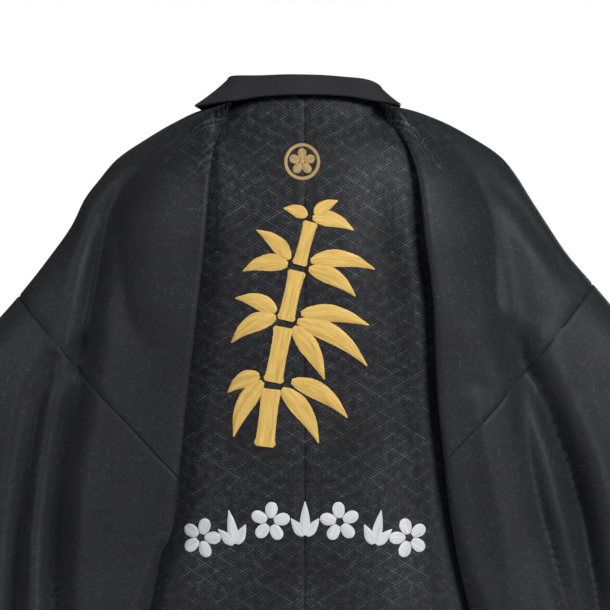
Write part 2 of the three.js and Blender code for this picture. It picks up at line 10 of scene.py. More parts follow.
# %% Load the frame
import bpy
import math
import numpy as np
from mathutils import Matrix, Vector


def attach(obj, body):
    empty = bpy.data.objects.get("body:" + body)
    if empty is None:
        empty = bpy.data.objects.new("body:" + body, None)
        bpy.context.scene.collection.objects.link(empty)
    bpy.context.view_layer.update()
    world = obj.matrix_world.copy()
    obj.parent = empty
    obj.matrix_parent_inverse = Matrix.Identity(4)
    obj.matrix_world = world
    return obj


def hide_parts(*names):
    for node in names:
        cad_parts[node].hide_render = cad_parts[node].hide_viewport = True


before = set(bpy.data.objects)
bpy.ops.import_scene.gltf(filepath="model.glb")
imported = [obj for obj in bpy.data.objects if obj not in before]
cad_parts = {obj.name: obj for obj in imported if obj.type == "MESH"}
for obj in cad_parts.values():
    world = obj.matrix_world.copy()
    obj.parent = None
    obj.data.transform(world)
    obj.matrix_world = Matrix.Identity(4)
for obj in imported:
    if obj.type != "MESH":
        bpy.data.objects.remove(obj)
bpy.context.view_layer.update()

MM = 0.001
SIDES = ("left", "right")

# %% [markdown]
# ## The cut and the figure
#
# A haori is cut from narrow straight lengths of silk. When the arms hang lower than they
# do in the flat cut, the shoulder cloth turns down with them, and the spare cloth between
# the shoulder and the straight centre panel lies in one long pleat. The tables below give
# the sizes of the cut, the line over the shoulder and arm, level sections of the body and
# the angle of the pleat's visible fold. They are the same as in the solids. The collar's
# table isn't: two of its rows spread the left end up to 9 mm further out than the solid's.

# %% The cut, in millimetres
SEAM_HALF = 0.45
NECK_HALF = 84
SHOULDER_WIDTH = 395
SLEEVE_WIDTH = 365
SLEEVE_DEPTH = 500
ARMHOLE = 430
CUFF_OPENING = 250
BODY_LENGTH = 960
SIDE_WIDTH = 320
SIDE_TAPER = 70
CUFF_ACROSS = SHOULDER_WIDTH + SLEEVE_WIDTH

TURN = 45.5
PLEAT_SPACE = 7
FOLD_HALF = 7
FOLD_ROUND = 3
PLEAT_START = {"back": 6, "front": 100}
PLEAT_FULL = {"back": 75, "front": 260}
ROLL_FROM = 24
ROLL_TO = 56
FRONT_EDGE_WIDTH = 180
SECTION_POWER = 2.5
FLAT_SHARE = 0.6
SIDE_EASE = 26
ARM_HALF = 58
HANG_HALF = 16
EDGE_HALF = 5
INNER_CLEARANCE = 5
OUTER_CLEARANCE = 12
NECK_RISE = 7
NECK_RISE_FADE = 60


class Table:
    """Rows of named columns, read at any value of the first one on a smooth curve."""

    def __init__(self, columns, rows):
        self.columns = columns
        self.rows = np.array(sorted(rows), float)
        x, y = self.rows[:, 0], self.rows
        slope = np.diff(y, axis=0) / np.diff(x)[:, None]
        bend = np.zeros_like(y)
        bend[0], bend[-1] = slope[0], slope[-1]
        before, after = slope[:-1], slope[1:]
        total = np.where(before + after == 0, 1, before + after)
        bend[1:-1] = np.where(before * after <= 0, 0, 2 * before * after / total)
        self.bend = bend

    def at(self, value):
        x = self.rows[:, 0]
        value = np.clip(np.asarray(value, float), x[0], x[-1])
        i = np.clip(np.searchsorted(x, value, side="right") - 1, 0, len(x) - 2)
        span = x[i + 1] - x[i]
        t = (value - x[i]) / span
        found = {}
        for c, name in enumerate(self.columns):
            a, b = self.rows[i, c], self.rows[i + 1, c]
            found[name] = ((2 * t**3 - 3 * t**2 + 1) * a
                           + (t**3 - 2 * t**2 + t) * span * self.bend[i, c]
                           + (3 * t**2 - 2 * t**3) * b
                           + (t**3 - t**2) * span * self.bend[i + 1, c])
        return found


# %% The line along the top of the shoulder and arm, by reach from the neck slit's end
RIDGE = {
    "left": Table(["reach", "out", "back", "up"], [
        [0, 76, 56, 0], [40, 109, 33, -5], [75, 141, 19, -18], [110, 170, 8, -34],
        [150, 203, 2, -56], [180, 222, 0, -78], [210, 238, -1, -99], [240, 251, -2, -126],
        [275, 278, -3, -164], [311, 309, -5, -203], [406, 372, -10, -272],
        [480, 422, -14, -330], [554, 468, -19, -387], [676, 549, -28, -483]]),
    "right": Table(["reach", "out", "back", "up"], [
        [0, 76, 56, 0], [40, 110, 33, -4.5], [75, 146, 19, -16], [110, 180, 8, -33],
        [150, 212, 2, -54], [180, 229, 0, -75], [210, 244, -1, -99], [240, 259, -2, -122],
        [275, 283, -3, -158], [311, 311, -5, -190], [406, 378, -10, -268],
        [480, 427, -14, -327], [554, 473, -19, -385], [676, 551, -28, -482]]),
}

# %% The roll of the cloth over that line: its drop and its length
ROLL = Table(["across", "backDrop", "backLength", "frontDrop", "frontLength"], [
    [84, 0.1, 0.2, 72, 165], [110, 22, 45, 70, 150], [150, 46, 96, 66, 128],
    [230, 56, 106, 60, 108], [320, 58, 98, 58, 97], [395, 58, 91, 58, 91],
    [760, 50, 79, 50, 79]])

# %% Level sections of the body of the jacket
BODY = Table(["up", "halfWidth", "behind", "before", "girth", "opening"], [
    [-1000, 262, 150, 150, 347, 33], [-800, 252, 143, 142, 342, 27],
    [-650, 241, 134, 132, 338, 21], [-560, 232, 127, 124, 332, 16],
    [-477, 216, 120, 116, 312, 11], [-400, 206, 117, 112, 300, 18],
    [-320, 205, 119, 108, 288, 24], [-240, 205, 125, 104, 270, 24],
    [-160, 200, 127, 96, 255, 24], [-100, 186, 121, 84, 238, 24],
    [-50, 152, 107, 72, 200, 20], [-20, 116, 92, 62, 158, 14], [10, 92, 80, 50, 128, 8]])

# %% The pleat's visible fold: its angle from upright, by reach
FOLD_EDGE = Table(["reach", "leftBack", "rightBack", "leftFront", "rightFront"], [
    [0, 9, 32, 60, 60], [44, 7.4, 24, 50, 50], [95, 6.4, 18, 40, 40],
    [145, 5.8, 13.8, 32, 32], [210, 6.0, 12, 24, 25], [280, 6.1, 9.9, 17, 18],
    [330, 6.2, 9.3, 14, 15], [400, 6.2, 9.2, 11, 12], [450, 6.6, 9.2, 9.5, 10.4],
    [480, 8.0, 9.3, 8.6, 9.8], [530, 8.4, 9.8, 8.4, 9.8], [600, 10, 11, 10, 11],
    [720, 14, 14, 14, 14]])

# %% The sleeve's lower edge, from the body out to the cuff
SLEEVE_EDGE = Table(["share", "out", "back", "up"], [
    [0, 246, -1, -562], [0.25, 252, -3, -634], [0.5, 266, -8, -712],
    [0.75, 292, -16, -790], [1, 326, -26, -866]])

# %% The collar by distance from the centre back
COLLAR = {
    "left": Table(["along", "stand", "fall", "spread", "tuck"], [
        [0, 23, 26, 10, 6], [60, 26, 30, 13, 4], [84, 29, 31, 31, 1], [105, 28, 29, 40, 1],
        [150, 22, 33, 22, 2], [234, 14, 45, 9, 6], [434, 12, 50, 7, 6], [1044, 12, 52, 6, 6]]),
    "right": Table(["along", "stand", "fall", "spread", "tuck"], [
        [0, 23, 26, 10, 6], [60, 23, 27, 13, 4], [84, 19, 20, 22, 1], [105, 16, 15, 24, 1],
        [150, 16, 26, 18, 2], [234, 13, 44, 9, 6], [434, 12, 50, 7, 6], [1044, 12, 52, 6, 6]]),
}
print("tables ready")

# %% [markdown]
# ## From the flat cut to the figure
#
# `hang_point` repeats the map that made the solids, for whole grids of points at once.
# It measures how far a point lies from the end of the neck slit, and at what angle, folds
# that angle back on itself between the pleat's two folds, and then moves the outer part
# so that its top follows the shoulder and arm.


# %% Small helpers
def mix(a, b, share):
    return a + (b - a) * share


def clamp(value):
    return np.clip(value, 0, 1)


def ease(value):
    value = clamp(value)
    return value * value * (3 - 2 * value)


def sign_of(face):
    return 1 if face == "back" else -1


# %% How the cloth rolls over the shoulder
def roll_over(face, across, along):
    roll = ROLL.at(across)
    drop, length = roll[face + "Drop"], roll[face + "Length"]
    angle = np.pi / 2 * np.minimum(1, along / length)
    rolled = drop * (1 - np.cos(angle)) + np.maximum(0, along - length)
    turn = np.degrees(np.arctan2(across - NECK_HALF, along))
    share = ease((turn - ROLL_FROM) / (ROLL_TO - ROLL_FROM))
    if face == "front":
        share = np.maximum(share, 1 - ease((across - NECK_HALF) / FRONT_EDGE_WIDTH))
    return mix(along, rolled, share), np.sin(angle)


def cut_length(face, across, along):
    """The front is cut longer towards its edge, so that the hem hangs level."""
    if face == "back":
        return along + 0 * across
    roll = ROLL.at(across)
    lost = roll["frontLength"] - roll["frontDrop"]
    share = 1 - ease((across - NECK_HALF) / FRONT_EDGE_WIDTH)
    return along + lost * share * ease((along - ARMHOLE) / (BODY_LENGTH - ARMHOLE))


# %% The pleat's angles
def pleat(side, face, reach):
    hang = FOLD_EDGE.at(reach)[side + face.capitalize()]
    opened = ease((reach - PLEAT_START[face]) / (PLEAT_FULL[face] - PLEAT_START[face]))
    tuck = TURN / 2 * opened
    rounding = np.minimum(np.degrees(FOLD_ROUND / np.maximum(reach, FOLD_ROUND)), tuck / 5)
    return {"open": opened, "tuck": tuck, "round": rounding, "outer": hang,
            "inner": hang + tuck, "outerCut": hang + 2 * tuck}


def folded_angle(fold, turn):
    before = fold["inner"] - np.hypot(turn - fold["inner"], fold["round"])
    after = fold["outer"] + np.hypot(turn - fold["outerCut"], fold["round"])
    return mix(before, after, ease((turn - fold["inner"]) / np.maximum(fold["tuck"], 0.001)))


# %% The body's surface
def on_body(face, out, up, offset):
    section = BODY.at(up)
    depth = section["behind" if face == "back" else "before"]
    half = section["halfWidth"]
    flat = FLAT_SHARE * half
    limit = section["girth"] - section["opening"]
    slack = out - (limit - SIDE_EASE)
    eased = limit - SIDE_EASE * np.exp(-np.maximum(slack, 0) / SIDE_EASE)
    cloth = np.where(slack > 0, eased, out)
    turn = np.pi / 2 * (cloth - flat) / (section["girth"] - flat)
    x = np.where(cloth > flat, flat + (half - flat) * np.sin(turn), cloth)
    share = clamp(x / half)
    y = depth * (1 - share**SECTION_POWER) ** (1 / SECTION_POWER)
    nx = share ** (SECTION_POWER - 1) / half
    ny = (y / depth) ** (SECTION_POWER - 1) / depth
    size = np.hypot(nx, ny)
    return x + nx / size * offset, y + ny / size * offset


def clear_of_body(face, x, y, z, clearance):
    section = BODY.at(z)
    depth = section["behind" if face == "back" else "before"]
    across = np.abs(x) / (section["halfWidth"] + clearance)
    through = np.abs(y) / (depth + clearance)
    size = np.maximum(across**SECTION_POWER + through**SECTION_POWER, 1e-6)
    size = np.minimum(size ** (1 / SECTION_POWER), 1)
    return x / size, y / size


# %% How far the cuff edge hangs below a stiff flat sleeve
def cuff_shift(side, face, along):
    down, _ = roll_over(face, CUFF_ACROSS + 0 * along, along)
    reach = np.hypot(CUFF_ACROSS - NECK_HALF, down)
    turn = np.degrees(np.arctan2(CUFF_ACROSS - NECK_HALF, down)) - TURN
    top = RIDGE[side].at(reach)
    full, _ = roll_over(face, np.array([CUFF_ACROSS]), np.array([SLEEVE_DEPTH]))
    share = down / full[0]
    corner = SLEEVE_EDGE.at(1)
    out = mix(top["out"], corner["out"], share) - NECK_HALF - reach * np.sin(np.radians(turn))
    up = mix(top["up"], corner["up"], share) + reach * np.cos(np.radians(turn))
    return out, up


# %% [markdown]
# ## Creases
#
# Silk that hangs from a shoulder keeps a few long soft troughs, each with a fuller ridge
# beside it. They are placed one by one. Every crease has its own line, depth and width, and
# the ones on the hidden front are of the same kind. Low in the sleeve the two faces hang
# close together, so there a trough behind is a ridge in front. The centre panel also sinks
# a little beside the pleat, where the drape pulls away from it. The solids have fewer and
# simpler folds, on other lines, so in the deepest ones the cloth leaves them by about 20 mm.

# %% The creases, on the hanging cloth: a line of out and up, then depth and width
CREASES = {
    ("left", "back"): [
        [(192, -76), (212, -116), (222, -172), (235, -252), (243, -290), 9, 16],
        [(140, -84), (152, -106), (158, -150), (166, -205), (168, -225), 3, 12],
        [(264, -262), (283, -313), (294, -386), (302, -459), (310, -660), 10, 15],
        [(226, -236), (240, -290), (250, -340), (258, -388), (263, -450), (262, -520),
         (258, -660), 12, 20],
        [(84, -28), (98, -56), (108, -76), (118, -100), (124, -130), 2.5, 10],
        [(112, -230), (124, -290), (130, -350), (134, -430), (136, -520), -3.5, 26],
    ],
    ("right", "back"): [
        [(176, -74), (188, -134), (196, -172), (206, -226), (216, -262), 3.5, 9],
        [(190, -84), (203, -140), (214, -180), (226, -230), (234, -300), 4.5, 30],
        [(219, -262), (228, -318), (235, -358), (248, -424), (262, -476), (284, -560),
         (300, -660), 7, 15],
        [(212, -228), (224, -256), (254, -318), (279, -380), (295, -440), (308, -520),
         (318, -660), 13, 22],
        [(206, -82), (232, -110), (252, -140), (268, -160), (292, -196), 5, 15],
        [(176, -300), (190, -360), (202, -430), (212, -500), (222, -600), -4, 24],
    ],
    ("left", "front"): [
        [(182, -90), (200, -128), (212, -180), (226, -250), (236, -290), 7, 18],
        [(252, -260), (270, -330), (282, -400), (290, -470), (298, -640), 9, 20],
    ],
    ("right", "front"): [
        [(178, -84), (190, -140), (200, -180), (208, -230), (218, -270), 7, 16],
        [(236, -262), (262, -330), (284, -400), (296, -460), (314, -610), 10, 20],
    ],
}


CREASE_STRENGTH = 2.25
CREASE_WIDTH = 0.78
CREASE_ENDS = 0.45
CREASE_SHARPNESS = 1.5
# The low ridge on each side of a trough: height, place and width, in the trough's own.
RIDGES = [(0.35, 1.7, 1.2), (0.25, -1.8, 1.3)]
THIN_FROM = 120
THIN_OVER = 240


def crease_depth(side, face, out, up):
    """How far the troughs draw the cloth in, with a low ridge on each side of them."""
    total = 0 * out
    for *line, depth, width in CREASES[side, face]:
        x = np.array([p[0] for p in line], float)
        z = np.array([p[1] for p in line], float)
        centre = np.interp(up, z[::-1], x[::-1])
        length = clamp((z[0] - up) / (z[0] - z[-1]))
        fade = np.where((up < z[0]) & (up > z[-1]), np.sin(np.pi * length) ** CREASE_ENDS, 0)
        away = (out - centre) / (width * CREASE_WIDTH)
        trough = np.exp(-(np.abs(away) ** CREASE_SHARPNESS))
        ridge = sum(height * np.exp(-((away - place) / spread) ** 2)
                    for height, place, spread in RIDGES)
        total = total + depth * fade * (trough - ridge)
    return total


def creased(side, face, x, z, along):
    """How far a point is moved in, measured towards the wearer on its own face."""
    behind = crease_depth(side, "back", x, z)
    if face == "back":
        return CREASE_STRENGTH * behind
    thin = ease((along - THIN_FROM) / THIN_OVER)
    return CREASE_STRENGTH * (crease_depth(side, face, x, z) * (1 - thin) - behind * thin)


# %% The hollow of the centre panel beside the pleat
# Depth, distance in from the pleat's fold, and width.
HOLLOW = {"left": (11, 8, 32), "right": (9, 40, 22)}
# How far the panel's edge turns under at the fold, and over what width.
ROLL_UNDER = {"left": (0, 14), "right": (8, 14)}
HOLLOW_FROM = -40
HOLLOW_OVER = 140


def panel_hollow(side, x, z):
    """On the left the panel stays sunk under the drape; on the right it rises to its fold."""
    depth, inset, width = HOLLOW[side]
    angle = np.radians(FOLD_EDGE.at(-z)[side + "Back"])
    fold = NECK_HALF - z * np.tan(angle)
    away = x - (fold - inset)
    if side == "left":
        away = np.minimum(away, 0)
    sunk = depth * np.exp(-((away / width) ** 2))
    roll_depth, roll_width = ROLL_UNDER[side]
    sunk = sunk + roll_depth * ease((x - fold + roll_width) / roll_width)
    return sunk * ease((HOLLOW_FROM - z) / HOLLOW_OVER)


# %% Where a point of the cut hangs
TILT_POWER = 1.5
DEPTH_SPEED = 1.15
HOLD_SPEED = 5
THIN_SLEEVE_FROM = 90


def hang_point(side, face, across, along):
    down, lift = roll_over(face, across, along)
    reach = np.hypot(across - NECK_HALF, down)
    turn = np.degrees(np.arctan2(across - NECK_HALF, down))
    fold = pleat(side, face, reach)

    def step(distance):
        return ease((distance + FOLD_HALF) / (2 * FOLD_HALF))

    past_inner = reach * np.sin(np.radians(turn - fold["inner"]))
    past_outer = reach * np.sin(np.radians(turn - fold["outerCut"]))
    layer = PLEAT_SPACE * fold["open"] * (step(past_inner) + step(past_outer))

    def lay(angle, radius):
        angle = np.radians(angle)
        return NECK_HALF + radius * np.sin(angle), -radius * np.cos(angle)

    ridge = RIDGE[side].at(reach)
    neck_back = RIDGE[side].at(0)["back"]
    sign = sign_of(face)
    top = sign * mix(neck_back, ridge["back"], turn / 90)
    here_out, here_up = lay(folded_angle(fold, turn), reach)
    x_in, y_in = on_body(face, here_out, here_up, layer)
    y_in = mix(top, y_in, 1 if face == "back" else lift)
    passed = layer / np.maximum(PLEAT_SPACE * fold["open"], 0.01)
    if face == "back":
        y_in = y_in - panel_hollow(side, here_out, here_up) * (1 - clamp(passed - 1))

    tilt = clamp((turn - fold["outerCut"]) / (90 - fold["outerCut"]))
    edge_out, edge_up = lay(fold["outer"] + fold["round"], reach)
    edge_x, edge_y = on_body(face, edge_out, edge_up, layer)
    ridge_out, ridge_up = lay(90 - 2 * fold["tuck"], np.minimum(reach, CUFF_ACROSS - NECK_HALF))
    held_out, held_up = ridge["out"] - ridge_out, ridge["up"] - ridge_up
    body_out = mix(edge_x - edge_out, held_out, tilt**TILT_POWER)
    body_up = mix(0, held_up, tilt**TILT_POWER)
    sleeve = clamp((across - SHOULDER_WIDTH) / SLEEVE_WIDTH) ** TILT_POWER
    sag_out, sag_up = cuff_shift(side, face, along)
    start_out, start_up = cuff_shift(side, face, 0 * along)
    thinned = ease((along - THIN_SLEEVE_FROM) / (SLEEVE_DEPTH - THIN_SLEEVE_FROM))
    half = mix(ARM_HALF, HANG_HALF, thinned)
    x = here_out + mix(body_out, held_out + sag_out - start_out, sleeve)
    z = here_up + mix(body_up, held_up + sag_up - start_up, sleeve)
    y = mix(edge_y, half + sign * ridge["back"], ease(tilt * DEPTH_SPEED))
    raised = mix(1, lift, tilt) if face == "back" else lift
    y = mix(top, y, raised)
    drape = turn > fold["outerCut"]
    hold = np.where(drape, ease(tilt * HOLD_SPEED) * raised, 0)
    return (np.where(drape, x, x_in), np.where(drape, y, y_in),
            np.where(drape, z, here_up), layer, hold)


# %% The sleeve closes on its lower edge
CLOSING_SPEED = 1.5
LAYER_KEPT = 4


def close_sleeve(side, face, across, along, x, y, z, layer):
    share = clamp((across - SHOULDER_WIDTH) / SLEEVE_WIDTH)
    start = mix(ARMHOLE, CUFF_OPENING, share)
    from_x, from_y, from_z, *_ = hang_point(side, face, across, start)
    edge = SLEEVE_EDGE.at(share)
    way = clamp((along - start) / (SLEEVE_DEPTH - start))
    to_y = EDGE_HALF + sign_of(face) * edge["back"] + layer * (1 - way**LAYER_KEPT)
    held = (across > SHOULDER_WIDTH) & (way > 0)
    pull = np.where(held, ease(way * CLOSING_SPEED), 0)
    x = mix(x, mix(from_x, edge["out"], way), pull)
    y = mix(y, mix(from_y, to_y, way), pull)
    z = mix(z, mix(from_z, edge["up"], way), pull)
    return x, y, z, held


# %% A point of cloth in the world, in millimetres
def cloth_point(side, face, across, along):
    across, along = np.broadcast_arrays(np.asarray(across, float), np.asarray(along, float))
    by_slit = np.maximum(across, NECK_HALF)
    x, y, z, layer, hold = hang_point(side, face, by_slit, along)
    x, y, z, held = close_sleeve(side, face, by_slit, along, x, y, z, layer)
    y = y - creased(side, face, x, z, along) * hold
    sleeve_room = mix(INNER_CLEARANCE, OUTER_CLEARANCE, layer / PLEAT_SPACE - 1)
    clear_x, clear_y = clear_of_body(face, x, y, z, np.where(held, sleeve_room, layer))
    outer = held | (hold > 0)
    x, y = np.where(outer, clear_x, x), np.where(outer, clear_y, y)
    rise = NECK_RISE * (1 - (across / NECK_HALF) ** 2) * np.exp(-along / NECK_RISE_FADE)
    mid_x, mid_y = on_body(face, np.minimum(across, NECK_HALF), rise - along, 0)
    mid_y = mid_y - panel_hollow(side, mid_x, rise - along)
    middle = across < NECK_HALF
    x, y = np.where(middle, mid_x, x), np.where(middle, mid_y, y)
    z = np.where(middle, rise - along, z)
    return np.stack([x * (-1 if side == "right" else 1), y * sign_of(face), z], -1)


print("centre back at the neck", cloth_point("left", "back", 0.4, 0).round(1))

# %% [markdown]
# ## Shells of cloth
#
# Each piece is a grid of points. The shell has an outer and an inner surface a millimetre
# apart and a narrow rim along its cut edges, so that it is a closed body and shows its
# thickness at hems and cuffs. The grid's columns crowd together at the pleat's folds,
# which keeps the folded edges round. Every corner also stores its place in the flat cut,
# in metres, and the weave is drawn in those coordinates.

# %% Grid columns that crowd at the folds
COLUMN_SAMPLES = 360
FOLD_CROWDING = 5
FOLD_REACH = 8
CROWDING_GROWTH = 90
SEAM_COLUMN = 1.8
NARROWEST = 0.5
END_PULL = 0.75
FOLD_SEARCH_STEPS = 12
STEEPEST_FOLD = 80
COLUMN_SMOOTHING = 12


def smooth_rows(rows, passes):
    for _ in range(passes):
        padded = np.vstack([rows[:1], rows, rows[-1:]])
        rows = (padded[:-2] + 2 * padded[1:-1] + padded[2:]) / 4
    return rows


def fold_across(side, face, along, which):
    across = np.full_like(along, SHOULDER_WIDTH, dtype=float)
    for _ in range(FOLD_SEARCH_STEPS):
        down, _ = roll_over(face, across, along)
        reach = np.hypot(across - NECK_HALF, down)
        angle = np.minimum(STEEPEST_FOLD, pleat(side, face, reach)[which])
        across = mix(across, NECK_HALF + down * np.tan(np.radians(angle)), 0.5)
    return across


def toward_ends(count, pull):
    """Shares from 0 to 1 that lie closer together at the ends marked in `pull`."""
    t = np.linspace(0, 1, count + 1)
    crowded = {"both": 0.5 - 0.5 * np.cos(np.pi * t), "first": 1 - np.cos(np.pi / 2 * t),
               "last": np.sin(np.pi / 2 * t)}
    return mix(t, crowded[pull], END_PULL)


def panel_columns(side, face, along, start, end):
    """Columns of a body panel that keep to the pleat's two folds all the way down."""
    inner = fold_across(side, face, along, "inner")
    outer = fold_across(side, face, along, "outerCut")
    marks = [start + 0 * along, inner, outer, end + 0 * along]
    segments = [(36, "last"), (24, "both"), (44, "first")]
    parts = [marks[0][:, None]]
    for k, (count, pull) in enumerate(segments):
        share = toward_ends(count, pull)[None, 1:]
        parts.append(mix(marks[k][:, None], marks[k + 1][:, None], share))
    columns = np.concatenate(parts, axis=1)
    for i in range(1, columns.shape[1]):
        columns[:, i] = np.maximum(columns[:, i], columns[:, i - 1] + NARROWEST)
    columns[:, 1] = np.minimum(columns[:, 1], start + SEAM_COLUMN)
    columns[:, -1] = end
    for i in range(2, columns.shape[1]):
        columns[:, -i] = np.minimum(columns[:, -i], columns[:, 1 - i] - NARROWEST)
    columns[:, -2] = np.maximum(columns[:, -2], end - SEAM_COLUMN)
    return columns


def crowded_columns(side, face, along, start, end, count):
    """One row of columns for each distance along, from start to end."""
    start, end = np.broadcast_arrays(start, end, along)[:2]
    share = np.linspace(0, 1, COLUMN_SAMPLES)[None, :]
    across = mix(start[:, None], end[:, None], share)
    density = np.ones_like(across)
    for which in ("inner", "outerCut"):
        fold = fold_across(side, face, along, which)[:, None]
        near_fold = np.exp(-(((across - fold) / FOLD_REACH) ** 2))
        density += FOLD_CROWDING * clamp(along[:, None] / CROWDING_GROWTH) * near_fold
    total = np.cumsum(density, axis=1)
    total = (total - total[:, :1]) / (total[:, -1:] - total[:, :1])
    wanted = np.linspace(0, 1, count)
    columns = np.stack([np.interp(wanted, total[i], across[i]) for i in range(len(along))])
    columns = smooth_rows(columns, COLUMN_SMOOTHING)
    columns[:, 0], columns[:, -1] = start, end
    columns[:, 1], columns[:, -2] = start + SEAM_COLUMN, end - SEAM_COLUMN
    return columns


# %% Turned-in edges along the seams
SEAM_TURN = 4.5
SEAM_SINK = 1.1
SEAM_PUCKER = 0.4
PUCKER_ROWS = 400
PUCKER_SMOOTHING = 3
PUCKER_SIZE = 1.8
rng = np.random.default_rng(7)
PUCKER = smooth_rows(rng.normal(size=(PUCKER_ROWS, 1)), PUCKER_SMOOTHING)[:, 0] * PUCKER_SIZE


def unit(rows):
    return rows / np.maximum(np.linalg.norm(rows, axis=-1, keepdims=True), 1e-9)


def outward(points, face):
    """The direction out of the cloth at each point of a grid."""
    normal = unit(np.cross(np.gradient(points, axis=0), np.gradient(points, axis=1)))
    return normal * np.sign(np.sum(normal[..., 1]) * sign_of(face))


def turn_in(points, flat, face, column):
    """Draws the edge down a little, unevenly, and adds a column turned in behind it."""
    inward = -outward(points, face)[:, column]
    points = points.copy()
    sink = SEAM_SINK + SEAM_PUCKER * PUCKER[:len(points), None]
    points[:, column] += inward * sink
    turned = points[:, column] + inward * SEAM_TURN
    if column == 0:
        return (np.concatenate([turned[:, None], points], axis=1),
                np.concatenate([flat[:, :1], flat], axis=1))
    return (np.concatenate([points, turned[:, None]], axis=1),
            np.concatenate([flat, flat[:, -1:]], axis=1))


# %% A closed shell from a list of grids
SHARP_ANGLE = 70


class Shell:
    def __init__(self, name, thickness):
        self.name, self.thickness = name, thickness
        self.points, self.flat, self.cells = [], [], []
        self.count = 0

    def add(self, points, flat):
        """Adds a grid of points and their places in the cut, and gives back their numbers."""
        shape = points.shape[:2]
        self.points.append(points.reshape(-1, 3))
        self.flat.append(flat.reshape(-1, 2))
        index = np.arange(self.count, self.count + shape[0] * shape[1]).reshape(shape)
        self.count += shape[0] * shape[1]
        return index

    def join(self, index, flipped):
        """Fills a grid of point numbers with four-sided cells."""
        a, b, c, d = index[:-1, :-1], index[:-1, 1:], index[1:, 1:], index[1:, :-1]
        cells = np.stack([a, b, c, d], -1).reshape(-1, 4)
        self.cells.append(cells[:, ::-1] if flipped else cells)

    def build(self):
        points = np.concatenate(self.points) * MM
        flat = np.concatenate(self.flat) * MM
        cells = np.concatenate(self.cells)
        normals = np.zeros_like(points)
        corner = points[cells]
        face = np.cross(corner[:, 2] - corner[:, 0], corner[:, 3] - corner[:, 1])
        for k in range(4):
            np.add.at(normals, cells[:, k], face)
        normals /= np.maximum(np.linalg.norm(normals, axis=1, keepdims=True), 1e-12)
        offset = normals * self.thickness / 2
        n = len(points)
        edges = {}
        for k in range(4):
            for p, q in zip(cells[:, k].tolist(), cells[:, (k + 1) % 4].tolist()):
                if edges.pop((q, p), None) is None:
                    edges[p, q] = True
        rim = np.array([[q, p, p + n, q + n] for p, q in edges])
        faces = np.vstack([cells, cells[:, ::-1] + n, rim])
        mesh = bpy.data.meshes.new(self.name)
        mesh.from_pydata(np.vstack([points + offset, points - offset]).tolist(), [], faces.tolist())
        layer = mesh.uv_layers.new(name="cut")
        loops = np.empty(len(mesh.loops), int)
        mesh.loops.foreach_get("vertex_index", loops)
        layer.data.foreach_set("uv", np.vstack([flat, flat])[loops].ravel())
        smooth = np.ones(len(faces), bool)
        mesh.polygons.foreach_set("use_smooth", smooth)
        mesh.set_sharp_from_angle(angle=math.radians(SHARP_ANGLE))
        piece = bpy.data.objects.new(self.name, mesh)
        bpy.context.scene.collection.objects.link(piece)
        print(self.name, len(faces) * 2, "triangles")
        return piece


# %% [markdown]
# ## The body
#
# Each half of the body is one length of silk, up the front, over the shoulder and down
# the back. The two meet in the centre-back seam.

# %% Body panels
CLOTH_THICKNESS = 0.0012
ROW_STEP = 5
NECK_COLUMNS = 20
NEAR_ROWS = [0, 2, 5, 9, 14]
EVEN_ROWS_FROM = 20


def side_width(along):
    edge = SHOULDER_WIDTH - SEAM_HALF
    return mix(edge, SIDE_WIDTH, ease((along - ARMHOLE) / SIDE_TAPER))


def row_list(length):
    return np.concatenate([NEAR_ROWS, np.arange(EVEN_ROWS_FROM, length, ROW_STEP), [length]])


def body_panel(side):
    shell = Shell("cloth_body_" + side, CLOTH_THICKNESS)
    along = row_list(BODY_LENGTH)
    centre = np.linspace(0, NECK_HALF, NECK_COLUMNS + 1)[:-1]
    centre[:2] = SEAM_HALF, SEAM_HALF + SEAM_COLUMN
    grids = {}
    for face in ("back", "front"):
        across = panel_columns(side, face, along, NECK_HALF, side_width(along))
        if face == "front":
            across[0] = grids["back"][1][0, NECK_COLUMNS:]
        else:
            middle = np.tile(centre, (len(along), 1))
            across = np.concatenate([middle, across], axis=1)
        rows = np.tile(along[:, None], (1, across.shape[1]))
        length = cut_length(face, np.maximum(across, NECK_HALF), rows)
        points = cloth_point(side, face, across, length)
        flat = np.stack([across, length * sign_of(face)], -1)
        points, flat = turn_in(points, flat, face, -1)
        if face == "back":
            points, flat = turn_in(points, flat, face, 0)
        grids[face] = (points, across, flat)
    right = side == "right"
    back = shell.add(grids["back"][0], grids["back"][2])
    front = shell.add(grids["front"][0][1:], grids["front"][2][1:])
    front = np.vstack([back[:1, NECK_COLUMNS + 1:], front])
    shell.join(back, right)
    shell.join(front, not right)
    return shell.build()


bodies = {side: body_panel(side) for side in SIDES}

# %% [markdown]
# ## The sleeves
#
# A sleeve is a flat tube of one width. It is sewn to the body down the armhole, left open
# at the cuff for the hand, and closed below.

# %% Sleeves
SLEEVE_COLUMNS = 132


